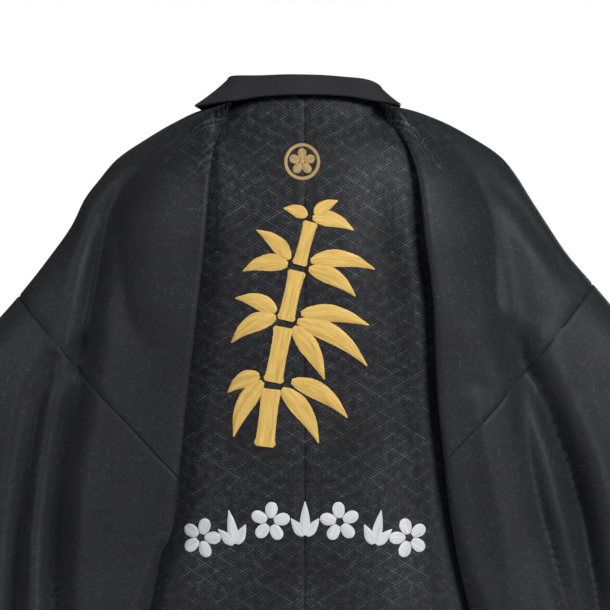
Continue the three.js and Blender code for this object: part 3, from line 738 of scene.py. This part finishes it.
def sleeve(side):
    shell = Shell("cloth_sleeve_" + side, CLOTH_THICKNESS)
    along = row_list(SLEEVE_DEPTH)
    along = np.sort(np.unique(np.append(along, [ARMHOLE, CUFF_OPENING])))
    seam = SHOULDER_WIDTH + SEAM_HALF
    index = {}
    top = None
    for face in ("back", "front"):
        across = crowded_columns(side, face, along, seam, CUFF_ACROSS, SLEEVE_COLUMNS)
        if face == "front":
            across[0] = top
        top = across[0]
        rows = np.tile(along[:, None], (1, across.shape[1]))
        points = cloth_point(side, face, across, rows)
        flat = np.stack([across, rows * sign_of(face)], -1)
        points, flat = turn_in(points, flat, face, 0)
        if face == "back":
            index[face] = shell.add(points, flat)
        else:
            index[face] = np.vstack([index["back"][:1], shell.add(points[1:], flat[1:])])
    right = side == "right"
    shell.join(index["back"], right)
    shell.join(index["front"], not right)
    below_arm = along >= ARMHOLE
    below_hand = along >= CUFF_OPENING
    shell.join(np.stack([index["back"][-1], index["front"][-1]]), right)
    shell.join(np.stack([index["back"][below_arm, 0], index["front"][below_arm, 0]]), right)
    shell.join(np.stack([index["back"][below_hand, -1], index["front"][below_hand, -1]]), not right)
    return shell.build()


sleeves = {side: sleeve(side) for side in SIDES}

# %% [markdown]
# ## The side strips
#
# A long narrow wedge of silk is let in between front and back from the armhole down.

# %% Side strips
GUSSET_COLUMNS = 7
GUSSET_TOP = 452
GUSSET_WIDTH = 60
GUSSET_PLACE = 900
GUSSET_GAP = 1.0


def gusset(side):
    shell = Shell("cloth_gusset_" + side, CLOTH_THICKNESS)
    along = np.arange(GUSSET_TOP, BODY_LENGTH + 1, ROW_STEP + 0.0)
    along[-1] = BODY_LENGTH
    width = side_width(along)
    back = cloth_point(side, "back", width, along)
    front = cloth_point(side, "front", width, cut_length("front", width, along))
    gap = GUSSET_GAP / np.linalg.norm(front - back, axis=1)[:, None]
    share = mix(gap, 1 - gap, np.linspace(0, 1, GUSSET_COLUMNS)[None, :])[..., None]
    points = mix(back[:, None], front[:, None], share)
    flat = np.stack([share[..., 0] * GUSSET_WIDTH + GUSSET_PLACE,
                     np.tile(along[:, None], (1, GUSSET_COLUMNS))], -1)
    index = shell.add(points, flat)
    shell.join(index, side == "left")
    return shell.build()


gussets = {side: gusset(side) for side in SIDES}

# %% [markdown]
# ## The collar
#
# The collar is one long band round the neck and down both fronts. At the neck it stands
# up inside and is folded out over itself, so a flat band with a rolled top edge shows from
# behind. Its section is worked out at many stations along the neckline.

# %% Collar
COLLAR_THICKNESS = 0.002
COLLAR_INSIDE = -3.1
COLLAR_OUTSIDE = 4.2
COLLAR_ROLL = 2.6
INSIDE_TOP = 0.35
COLLAR_PLACE = 2000
LEAN_REACH = 12
UPRIGHT_FROM = 40
FLAT_AFTER = 150
EDGE_SMOOTHING, LEAN_SMOOTHING, SIZE_SMOOTHING = 8, 10, 6


def collar_line(side):
    """The sewn edge from the centre back to the hem, and a point just inside the cloth."""
    neck = np.linspace(0.4, NECK_HALF, 22)
    chest = np.concatenate([np.arange(4, 60, 4), np.arange(60, BODY_LENGTH, 8), [BODY_LENGTH]])
    edge = np.vstack([cloth_point(side, "back", neck, 0 * neck),
                      cloth_point(side, "front", NECK_HALF, cut_length("front", NECK_HALF, chest))])
    beside = NECK_HALF + LEAN_REACH
    inside = np.vstack([cloth_point(side, "back", neck, LEAN_REACH + 0 * neck),
                        cloth_point(side, "front", beside, cut_length("front", beside, chest))])
    along = np.concatenate([neck, NECK_HALF + chest])
    return edge, inside, along


def distances(line):
    """How far along a line each of its points lies."""
    return np.concatenate([[0], np.cumsum(np.linalg.norm(np.diff(line, axis=0), axis=1))])


def collar():
    parts = [collar_line(side) for side in SIDES]
    edge, inside, along = (np.concatenate([left[::-1], right[1:]])
                           for left, right in zip(*parts))
    edge = smooth_rows(edge, EDGE_SMOOTHING)
    upright = ease((along - UPRIGHT_FROM) / (NECK_HALF - UPRIGHT_FROM))
    upright = upright * (1 - ease((along - NECK_HALF) / FLAT_AFTER))
    lean = unit(mix(unit(edge - inside), np.array([0, 0, 1.0]), upright[:, None]))
    lean = unit(smooth_rows(lean, LEAN_SMOOTHING))
    forward = unit(np.gradient(edge, axis=0))
    away = unit(lean - forward * np.sum(lean * forward, axis=1, keepdims=True))
    outward = np.cross(forward, away)
    halves = [COLLAR[side].at(part[2]) for side, part in zip(SIDES, parts)]
    size = {name: np.concatenate([halves[0][name][::-1], halves[1][name][1:]])
            for name in halves[0]}
    stand, fall, spread, tuck = (smooth_rows(size[name][:, None], SIZE_SMOOTHING)
                                 for name in ("stand", "fall", "spread", "tuck"))
    roll = np.radians(np.linspace(0, 180, 9))[None, :]
    up_in = np.linspace(0, 1, 5)[None, :]
    down_out = np.linspace(0, 1, 9)[None, 1:]
    top = stand - COLLAR_ROLL
    reach = np.hstack([mix(-tuck, top, up_in)[:, :-1], top + COLLAR_ROLL * np.sin(roll),
                       mix(top, stand - fall, down_out)])
    inner_top = COLLAR_INSIDE * INSIDE_TOP
    off_in = mix(COLLAR_INSIDE, inner_top, up_in) + 0 * stand
    off_roll = mix(inner_top, COLLAR_OUTSIDE, (1 - np.cos(roll)) / 2) + 0 * stand
    off_out = mix(COLLAR_OUTSIDE, spread, down_out)
    off = np.hstack([off_in[:, :-1], off_roll, off_out])
    points = (edge[:, None] + away[:, None] * reach[..., None] + outward[:, None] * off[..., None])
    shell = Shell("cloth_collar", COLLAR_THICKNESS)
    length, across = distances(edge), distances(points[len(points) // 2])
    flat = np.stack(np.broadcast_arrays(across[None, :] + COLLAR_PLACE, length[:, None]), -1)
    shell.join(shell.add(points, flat), False)
    return shell.build(), length[-1], across[-1]


collar_piece, collar_length, collar_width = collar()
print("collar cut", round(collar_length), "x", round(collar_width))

# %% [markdown]
# ## Shader tools
#
# A woven figure or a thread is the same effect wherever it appears, so each is built once
# as a node group and placed in every material that needs it. The small helper below keeps
# the wiring of a group short: it makes a node, sets its values and joins its sockets.


# %% A helper for wiring nodes
class Wiring:
    def __init__(self, tree):
        self.tree = tree

    def set(self, socket, value):
        if isinstance(value, bpy.types.NodeSocket):
            self.tree.links.new(value, socket)
        else:
            socket.default_value = value

    def node(self, kind, inputs=(), **settings):
        node = self.tree.nodes.new(kind)
        for name, value in settings.items():
            setattr(node, name, value)
        for key, value in dict(inputs).items():
            self.set(node.inputs[key], value)
        return node

    def math(self, operation, *values):
        node = self.node("ShaderNodeMath", operation=operation)
        for socket, value in zip(node.inputs, values):
            self.set(socket, value)
        return node.outputs[0]

    def times(self, a, b):
        return self.math("MULTIPLY", a, b)

    def plus(self, a, b):
        return self.math("ADD", a, b)

    def minus(self, a, b):
        return self.math("SUBTRACT", a, b)

    def noise(self, place, scale, detail=2.0, rough=0.5):
        made = self.node("ShaderNodeTexNoise", {"Vector": place, "Scale": scale, "Detail": detail,
                                               "Roughness": rough})
        return made.outputs["Fac"]

    def blend(self, share, low, high):
        made = self.node("ShaderNodeMix", data_type="RGBA")
        self.set(made.inputs[0], share)
        self.set(made.inputs[6], low)
        self.set(made.inputs[7], high)
        return made.outputs[2]

    def range(self, value, *limits):
        made = self.node("ShaderNodeMapRange", {"Value": value})
        for socket, limit in zip(made.inputs[1:5], limits):
            socket.default_value = limit
        return made.outputs[0]


def node_group(name, takes, gives):
    """A new group and the wiring for it, with its named inputs and outputs."""
    group = bpy.data.node_groups.new(name, "ShaderNodeTree")
    for socket, kind, value in takes:
        made = group.interface.new_socket(name=socket, in_out="INPUT",
                                          socket_type="NodeSocket" + kind)
        if value is not None:
            made.default_value = value
    for socket, kind in gives:
        group.interface.new_socket(name=socket, in_out="OUTPUT", socket_type="NodeSocket" + kind)
    wiring = Wiring(group)
    ends = wiring.node("NodeGroupInput"), wiring.node("NodeGroupOutput")
    return group, wiring, ends[0].outputs, ends[1].inputs


# %% [markdown]
# ## The woven figure
#
# The silk has a small figure of nested diamonds in the weave. A repeating lattice could be
# drawn with wave textures, but a diamond is simply the sum of two folded coordinates, so
# plain arithmetic gives every ring of it exactly. Inside each diamond the threads slant one
# way and in the next the other way, and slow noise wears parts of the figure faint.
#
# The figure also changes with the distance from the centre seam. It is a clear lattice on
# the flat centre panel, and beyond it fades to short broken marks on a paler ground. Real
# silk has one figure all over, and only the light makes it show here and not there. This is
# painted light, a choice of looks made by place in the cut: the paler ground is a painted
# sheen on the drapes, and it doesn't follow the light.

# %% The woven figure
FADE_FROM = 0.12
FADE_TO = 0.2
THREAD_SLOPE = 1.7
THREAD_SPACING = 0.0026
figure_group, w, given, out = node_group(
    "woven_figure",
    [("Place", "Vector", None), ("Width", "Float", 0.026), ("Height", "Float", 0.0158),
     ("Faintness", "Float", 0.3)],
    [("Line", "Float"), ("Slant", "Float")])
wobble = w.node("ShaderNodeTexNoise", {"Vector": given["Place"], "Scale": 70.0, "Detail": 1.0})
drift = w.node("ShaderNodeVectorMath", {0: wobble.outputs["Color"], 1: (0.5, 0.5, 0.5)},
               operation="SUBTRACT").outputs[0]
out_way = w.node("ShaderNodeSeparateXYZ", {0: given["Place"]}).outputs[0]


def painted_light_by_place(near, far):
    """A value for the centre panel that turns to another towards the side: painted light."""
    return w.range(out_way, FADE_FROM, FADE_TO, near, far)


drift = w.node("ShaderNodeVectorMath", {0: drift, "Scale": painted_light_by_place(0.002, 0.0085)},
               operation="SCALE").outputs[0]
place = w.node("ShaderNodeVectorMath", {0: given["Place"], 1: drift}, operation="ADD").outputs[0]
axes = w.node("ShaderNodeSeparateXYZ", {0: place}).outputs
u = w.math("DIVIDE", axes[0], given["Width"])
v = w.math("DIVIDE", axes[1], given["Height"])
folds = [w.times(w.math("ABSOLUTE", w.minus(w.math("FRACT", x), 0.5)), 2.0)
         for x in (u, v)]
spread = w.plus(*folds)
ring = w.math("MINIMUM", spread, w.minus(2.0, spread))


def ring_line(centre, width, strength):
    off = w.math("DIVIDE", w.math("ABSOLUTE", w.minus(ring, centre)), width)
    return w.times(w.math("MAXIMUM", w.minus(1.0, off), 0.0), strength)


line = ring_line(0.98, 0.15, 1.0)
for centre, width, strength in ((0.62, 0.13, 0.8), (0.26, 0.13, 0.6)):
    line = w.math("MAXIMUM", line, ring_line(centre, width, strength))
broken = w.range(w.noise(place, 150.0, 3.0, 0.7), 0.4, 0.6, 0.12, 1.0)
on_drape = painted_light_by_place(0.0, 1.0)
gaps = w.range(w.noise(place, 260.0, 2.0, 0.6), 0.46, 0.58, 1.0, 0.0)
broken = w.times(broken, w.minus(1.0, w.times(on_drape, gaps)))
faint = w.range(w.noise(place, 16.0, 3.0, 0.6), 0.38, 0.62, 0.0, 1.0)
faint = w.minus(1.0, w.times(faint, given["Faintness"]))
faint = w.times(faint, painted_light_by_place(1.0, 0.4))
line = w.times(w.times(line, broken), faint)
# The paler ground beyond the centre panel is a painted sheen: painted light on the drapes.
line = w.plus(line, painted_light_by_place(0.0, 0.13))
w.set(out["Line"], line)
inside = w.math("GREATER_THAN", spread, 1.0)
slopes = []
for sign in (1.0, -1.0):
    along_slope = w.plus(axes[0], w.times(axes[1], THREAD_SLOPE * sign))
    slopes.append(w.math("SINE", w.times(along_slope, 2 * math.pi / THREAD_SPACING)))
slant = w.plus(w.times(inside, slopes[0]), w.times(w.minus(1.0, inside), slopes[1]))
w.set(out["Slant"], w.times(w.math("MAXIMUM", slant, 0.0), faint))

# %% [markdown]
# ## Silk
#
# The ground of the cloth is dull black and the figure is a little paler and smoother. Two
# slow noises make the black uneven, as dyed silk is, and a fine one gives the crepe grain.
# The grain and the figure also go to the bump, so that the light breaks on them.

# %% The silk surface
silk_group, w, given, out = node_group(
    "silk_surface",
    [("Place", "Vector", None), ("Line", "Float", 0.0), ("Slant", "Float", 0.0),
     ("Ground", "Color", (0.01, 0.01, 0.012, 1)), ("Figure", "Color", (0.05, 0.05, 0.055, 1)),
     ("Dullness", "Float", 0.6)],
    [("Color", "Color"), ("Roughness", "Float"), ("Height", "Float")])
uneven = w.noise(given["Place"], 9.0, 4.0, 0.55)
grain = w.noise(given["Place"], 900.0, 2.0, 0.6)
stretched = w.node("ShaderNodeVectorMath", {0: given["Place"], 1: (1.0, 0.3, 1.0)},
                   operation="MULTIPLY")
ribs = w.noise(stretched.outputs[0], 420.0, 3.0, 0.65)
shade = w.plus(w.range(uneven, 0.3, 0.7, 0.86, 1.14), w.times(w.minus(grain, 0.5), 0.35))
shade = w.plus(shade, w.times(w.minus(ribs, 0.5), 0.5))
amount = w.plus(given["Line"], w.times(given["Slant"], 0.12))
cloth_color = w.blend(amount, given["Ground"], given["Figure"])
w.set(out["Color"], w.node("ShaderNodeVectorMath", {0: cloth_color, "Scale": shade},
                           operation="SCALE").outputs[0])
rough = w.minus(given["Dullness"], w.times(given["Line"], 0.12))
w.set(out["Roughness"], w.plus(rough, w.range(uneven, 0.3, 0.7, -0.04, 0.04)))
height = w.plus(w.times(grain, 0.35), w.times(ribs, 0.3))
height = w.plus(height, w.times(given["Line"], 0.5))
w.set(out["Height"], w.plus(height, w.times(given["Slant"], 0.2)))


# %% A material with one of the surface groups in it
SPECULAR = 0.25
SHEEN_ROUGHNESS = 0.4


def cloth_material(name, surface, values, sheen, bump):
    """A material whose colour, roughness and bump come from a surface group."""
    material = bpy.data.materials.new(name)
    material.use_nodes = True
    wiring = Wiring(material.node_tree)
    shader = material.node_tree.nodes["Principled BSDF"]
    flat = wiring.node("ShaderNodeUVMap", uv_map="cut").outputs[0]
    group = wiring.node("ShaderNodeGroup", node_tree=surface)
    wiring.set(group.inputs["Place"], flat)
    figure = values.pop("woven", None)
    if figure is not None:
        woven = wiring.node("ShaderNodeGroup", node_tree=figure_group)
        wiring.set(woven.inputs["Place"], flat)
        for key, value in figure.items():
            woven.inputs[key].default_value = value
        wiring.set(group.inputs["Line"], woven.outputs["Line"])
        wiring.set(group.inputs["Slant"], woven.outputs["Slant"])
    for key, value in values.items():
        group.inputs[key].default_value = value
    wiring.set(shader.inputs["Base Color"], group.outputs["Color"])
    wiring.set(shader.inputs["Roughness"], group.outputs["Roughness"])
    raised = wiring.node("ShaderNodeBump", {"Height": group.outputs["Height"], "Strength": bump[0],
                                           "Distance": bump[1]})
    wiring.set(shader.inputs["Normal"], raised.outputs[0])
    shader.inputs["Sheen Weight"].default_value = sheen
    shader.inputs["Sheen Roughness"].default_value = SHEEN_ROUGHNESS
    shader.inputs["Specular IOR Level"].default_value = SPECULAR
    print(name, "made")
    return material


SILK_GROUND = (0.0084, 0.0085, 0.0102, 1)
SILK_FIGURE = (0.1, 0.103, 0.122, 1)
black_silk = cloth_material("black_silk", silk_group, {
    "Ground": SILK_GROUND, "Figure": SILK_FIGURE, "Dullness": 0.58,
    "woven": {"Faintness": 0.5}}, 0.05, (0.3, 0.0003))
collar_silk = cloth_material("collar_silk", silk_group, {
    "Ground": (0.027, 0.027, 0.0295, 1), "Figure": (0.05, 0.051, 0.057, 1), "Dullness": 0.55,
    "woven": {"Faintness": 0.9, "Width": 0.022, "Height": 0.013}}, 0.05, (0.35, 0.0004))

# %% [markdown]
# ## Satin stitch
#
# The embroidery is filled with long flat stitches laid side by side. Each filled shape is a
# low cushion of thread, so it is built as a narrow grid that follows a drawn line: thin at
# its edges and highest along its middle. Its points are looked up on the hanging cloth, so
# the motif bends with the back. The threads run along the shape, and the thread surface
# draws them as fine uneven lines.

# %% The thread surface
thread_group, w, given, out = node_group(
    "laid_thread",
    [("Place", "Vector", None), ("Thread", "Color", (0.8, 0.6, 0.2, 1)),
     ("Shadow", "Color", (0.3, 0.2, 0.05, 1)), ("Gloss", "Float", 0.4)],
    [("Color", "Color"), ("Roughness", "Float"), ("Height", "Float")])
long_way = w.node("ShaderNodeVectorMath", {0: given["Place"], 1: (1.0, 0.06, 1.0)},
                  operation="MULTIPLY")
strands = w.noise(long_way.outputs[0], 900.0, 2.0, 0.6)
streaks = w.noise(long_way.outputs[0], 260.0, 3.0, 0.6)
ends = w.noise(given["Place"], 700.0, 2.0, 0.7)
# How far the thread turns to its Shadow colour: painted shade between strands and painted sheen
# along streaks of the lay, with small darker flecks.
painted_shade_and_flecks = w.plus(w.range(strands, 0.35, 0.62, 0.35, 0.0), w.range(streaks, 0.42, 0.68, 0.0, 0.38))
painted_shade_and_flecks = w.plus(painted_shade_and_flecks, w.range(ends, 0.58, 0.75, 0.0, 0.3))
w.set(out["Color"], w.blend(painted_shade_and_flecks, given["Thread"], given["Shadow"]))
w.set(out["Roughness"], w.plus(given["Gloss"], w.range(streaks, 0.3, 0.7, -0.06, 0.1)))
w.set(out["Height"], w.plus(strands, w.times(ends, 0.3)))

gold_thread = cloth_material("gold_thread", thread_group, {
    "Thread": (1.0, 0.68, 0.2, 1), "Shadow": (0.5, 0.27, 0.05, 1), "Gloss": 0.42},
    0.0, (0.6, 0.0005))
tan_thread = cloth_material("tan_thread", thread_group, {
    "Thread": (0.62, 0.43, 0.19, 1), "Shadow": (0.2, 0.12, 0.04, 1), "Gloss": 0.5},
    0.0, (0.6, 0.0005))
white_thread = cloth_material("white_thread", thread_group, {
    "Thread": (0.9, 0.9, 0.9, 1), "Shadow": (0.5, 0.5, 0.53, 1), "Gloss": 0.45}, 0.0, (0.5, 0.0005))


# %% A point on the outside of the back, by its place in the cut
def back_surface(out_way, along, lift):
    """`out_way` is positive to the wearer's left; `lift` is the height above the cloth."""
    def at(dx, dz):
        x, z = out_way + dx, np.maximum(along + dz, 0)
        both = [cloth_point(side, "back", np.abs(x), z) for side in SIDES]
        return np.where((x >= 0)[..., None], *both)

    right_way, down_way = at(1, 0) - at(-1, 0), at(0, 1) - at(0, -1)
    normal = unit(np.cross(right_way, down_way))
    normal *= np.sign(normal[..., 1:2])
    return at(0, 0) + normal * lift[..., None]


# %% One filled shape along a drawn line
STITCH_STEP = 1.1
STITCH_COLUMNS = 9
STITCH_RISE = 0.9
STITCH_LIFT = 0.8
RAGGED = 0.014
NARROW_SHAPE = 2.5
RUN_STEP = 0.37
THREAD_THICKNESS = 0.0007
stitch_rng = np.random.default_rng(21)


class Embroidery:
    """Filled shapes of laid thread in one piece."""

    def __init__(self, name):
        self.shell = Shell(name, THREAD_THICKNESS)
        self.run = 0

    def fill(self, line, lift=0.0, rise=STITCH_RISE):
        """A shape along a line of (out, along, half width), pointed or blunt at its ends."""
        line = np.array(line, float)
        steps = np.hypot(*np.diff(line[:, :2], axis=0).T)
        length = np.concatenate([[0], np.cumsum(steps)])
        curve = Table(["length", "out", "along", "half"], np.column_stack([length, line]).tolist())
        place = np.linspace(0, length[-1], max(8, int(length[-1] / STITCH_STEP)))
        found = curve.at(place)
        way = unit(np.stack([np.gradient(found["out"]), np.gradient(found["along"])], -1))
        t = np.linspace(-1, 1, STITCH_COLUMNS)[None, :]
        ragged = 1 + stitch_rng.normal(scale=RAGGED, size=(len(place), 1)) * np.abs(t)
        reach = found["half"][:, None] * t * ragged
        x = found["out"][:, None] - way[:, 1:] * reach
        z = found["along"][:, None] + way[:, :1] * reach
        narrow = clamp(found["half"][:, None] / NARROW_SHAPE)
        height = STITCH_LIFT + lift + rise * narrow * (1 - t**4)
        self.run += RUN_STEP
        flat = np.stack(np.broadcast_arrays(reach + self.run * 100, place[:, None]), -1)
        self.shell.join(self.shell.add(back_surface(x, z, height), flat), False)

    def leaf(self, foot, tip, half, bend=0.0, **options):
        """A long pointed leaf from foot to tip, curved to one side by `bend`."""
        foot, tip = np.array(foot, float), np.array(tip, float)
        side = np.array([-(tip - foot)[1], (tip - foot)[0]]) * bend
        widths = [(0, 0.25), (0.12, 0.72), (0.35, 1), (0.65, 0.72), (0.88, 0.28), (1, 0.04)]
        line = [(*(mix(foot, tip, s) + side * math.sin(math.pi * s)), half * h) for s, h in widths]
        self.fill(line, **options)

    def petal(self, middle, angle, inner, outer, half, **options):
        """A round petal that points away from the middle."""
        way = np.array([math.sin(angle), -math.cos(angle)])
        widths = [(0, 0.3), (0.1, 0.6), (0.35, 0.92), (0.62, 1), (0.85, 0.76), (0.95, 0.5),
                  (1, 0.2)]
        self.fill([(*(np.array(middle) + way * mix(inner, outer, s)), half * h) for s, h in widths],
                  **options)

    def blossom(self, middle, radius, half, turn=0.0, **options):
        for k in range(5):
            self.petal(middle, turn + k * 2 * math.pi / 5, radius * 0.2, radius, half, **options)

    def build(self, material, slot):
        piece = self.shell.build()
        piece.data.materials.append(material)
        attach(piece, "root")
        return piece


# %% [markdown]
# ## The embroidered motifs
#
# On the upper back is a small round crest. Below it hangs a large spray of bamboo in gold,
# and under that a bowed row of small blossoms and leaves in white. The shapes are laid out
# in the flat cut, in millimetres: out from the centre seam and down from the neck.

# %% The crest: a blossom in a ring
CREST = (3, 66.5)
CREST_RADIUS = 17
crest = Embroidery("crest_ring")
turns = np.linspace(0, 2 * math.pi, 61)
crest.fill([(CREST[0] + CREST_RADIUS * math.sin(a), CREST[1] - CREST_RADIUS * math.cos(a), 1.5)
            for a in turns])
crest.blossom(CREST, 13.6, 4.4)
crest.fill([(CREST[0], CREST[1] + step, half) for step, half in
            ((-2.4, 1.2), (0, 2.3), (2.4, 1.2))], lift=0.5)
crest.build(tan_thread, "gold_thread")

# %% The gold bamboo
bamboo = Embroidery("gold_bamboo")
CANE = [((42, 360), (35, 300), 10.0), ((33, 293), (22, 236), 9.5), ((20, 229), (8, 178), 8.5),
        ((6, 172), (-6, 128), 7.0)]
for (foot_x, foot_z), (top_x, top_z), half in CANE:
    ends = [(0, 0.85), (0.05, 1.1), (0.14, 0.98), (0.5, 0.92), (0.86, 0.98), (0.95, 1.1), (1, 0.85)]
    bamboo.fill([(mix(foot_x, top_x, s), mix(foot_z, top_z, s), half * h) for s, h in ends])
LEAVES = [
    ((44, 292), (74, 350), 9.5, -0.08), ((47, 286), (80, 304), 8.5, -0.10),
    ((24, 300), (-14, 356), 10.0, 0.08), ((14, 292), (-44, 330), 9.5, 0.10),
    ((30, 226), (76, 252), 9.5, -0.12), ((30, 220), (72, 206), 8.5, -0.10),
    ((12, 236), (-20, 290), 10.0, 0.06), ((8, 230), (-64, 276), 10.0, 0.10),
    ((4, 222), (-66, 234), 9.0, 0.08), ((18, 172), (64, 178), 9.0, -0.12),
    ((16, 166), (50, 136), 8.0, -0.08), ((-4, 176), (-52, 204), 9.0, 0.10),
    ((-6, 168), (-72, 176), 9.0, 0.10), ((-8, 124), (-50, 136), 8.0, 0.10),
    ((-10, 120), (-34, 106), 6.5, 0.06), ((-2, 122), (22, 114), 6.5, -0.08),
]
for foot, tip, half, bend in LEAVES:
    bamboo.leaf(foot, tip, half, bend)
bamboo.build(gold_thread, "gold_thread")

# %% The white row of blossoms and leaves
ROW_HALF = 108
ROW_DOWN = 436
ROW_BOW = 20
white_row = Embroidery("white_blossoms")
for k, out_way in enumerate(np.linspace(ROW_HALF, -ROW_HALF, 7)):
    middle = (out_way, ROW_DOWN + ROW_BOW * (out_way / ROW_HALF) ** 2)
    tilt = -out_way / ROW_HALF * 0.28
    if k % 2 == 0:
        white_row.blossom(middle, 20.5, 6.3, turn=tilt)
    else:
        for angle, size in ((-0.62, 23), (0.0, 36), (0.62, 23)):
            way = np.array([math.sin(angle - tilt), -math.cos(angle - tilt)])
            foot = np.array(middle) + np.array([0, 19])
            white_row.leaf(foot + way * 3, foot + way * (size + 2), 5.2)
white_row.build(white_thread, "white_thread")

# %% Bodies, materials and what each piece replaces
for side in SIDES:
    for name, made in (("body_", bodies), ("sleeve_", sleeves), ("gusset_", gussets)):
        piece = made[side]
        piece.data.materials.append(black_silk)
        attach(piece, "root")
        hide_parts(name + side)
collar_piece.data.materials.append(collar_silk)
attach(collar_piece, "root")
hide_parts("collar")

# %% [markdown]
# ## Floor, light and camera

# %% Floor
floor_mesh = bpy.data.meshes.new("floor")
FLOOR_UP = -1.42
FLOOR_HALF = 3
corners = [(x * FLOOR_HALF, y * FLOOR_HALF, FLOOR_UP)
           for x, y in ((-1, -1), (1, -1), (1, 1), (-1, 1))]
floor_mesh.from_pydata(corners, [], [(0, 1, 2, 3)])
floor = bpy.data.objects.new("floor", floor_mesh)
bpy.context.scene.collection.objects.link(floor)
paint = bpy.data.materials.new("pale_floor")
paint.use_nodes = True
paint.node_tree.nodes["Principled BSDF"].inputs["Base Color"].default_value = (0.85, 0.85, 0.85, 1)
floor_mesh.materials.append(paint)

# %% World and lights
# The backdrop is white, but as a light it is dimmer, so that the soft boxes shape the folds.
WORLD_LIGHT = 0.05
world = bpy.data.worlds.new("studio")
bpy.context.scene.world = world
world.use_nodes = True
wiring = Wiring(world.node_tree)
seen = wiring.node("ShaderNodeLightPath").outputs["Is Camera Ray"]
strength = wiring.plus(wiring.times(seen, 1 - WORLD_LIGHT), WORLD_LIGHT)
backdrop = world.node_tree.nodes["Background"]
backdrop.inputs["Color"].default_value = (1, 1, 1, 1)
wiring.set(backdrop.inputs["Strength"], strength)
bpy.context.scene.view_settings.view_transform = "Standard"


def facing(place, aim):
    """The turn that points a lamp or camera from its place to what it is aimed at."""
    return (Vector(aim) - Vector(place)).to_track_quat("-Z", "Y").to_euler()


def soft_light(name, place, aim, size, watts):
    lamp = bpy.data.lights.new(name, "AREA")
    lamp.shape, lamp.size, lamp.energy = "SQUARE", size, watts
    holder = bpy.data.objects.new(name, lamp)
    holder.location = place
    holder.rotation_euler = facing(place, aim)
    bpy.context.scene.collection.objects.link(holder)


soft_light("key", (-1.9, 2.25, 1.4), (0, 0, -0.35), 1.2, 84)
soft_light("fill", (2.3, 1.9, 1.0), (0, 0, -0.35), 1.5, 30)
soft_light("front", (-0.8, -2.8, -0.2), (0, 0, -0.5), 1.5, 30)

# %% Camera
CAMERA_PLACE = (0.0, 2.915, -0.213)
CAMERA_AIM = (0.0, 0.0, -0.213)
# Half the width of cloth that the frame takes in, and how far away that cloth is.
HALF_WIDTH, CLOTH_AWAY = 317, 2800
HALF_FRAME = math.atan(HALF_WIDTH / CLOTH_AWAY)
camera_data = bpy.data.cameras.new("camera")
camera_data.sensor_width = 36
camera_data.angle = 2 * HALF_FRAME
camera_data.clip_end = 50
camera = bpy.data.objects.new("camera", camera_data)
camera.location = CAMERA_PLACE
camera.rotation_euler = facing(CAMERA_PLACE, CAMERA_AIM)
bpy.context.scene.collection.objects.link(camera)
bpy.context.scene.camera = camera

# %% The end
bpy.context.view_layer.update()
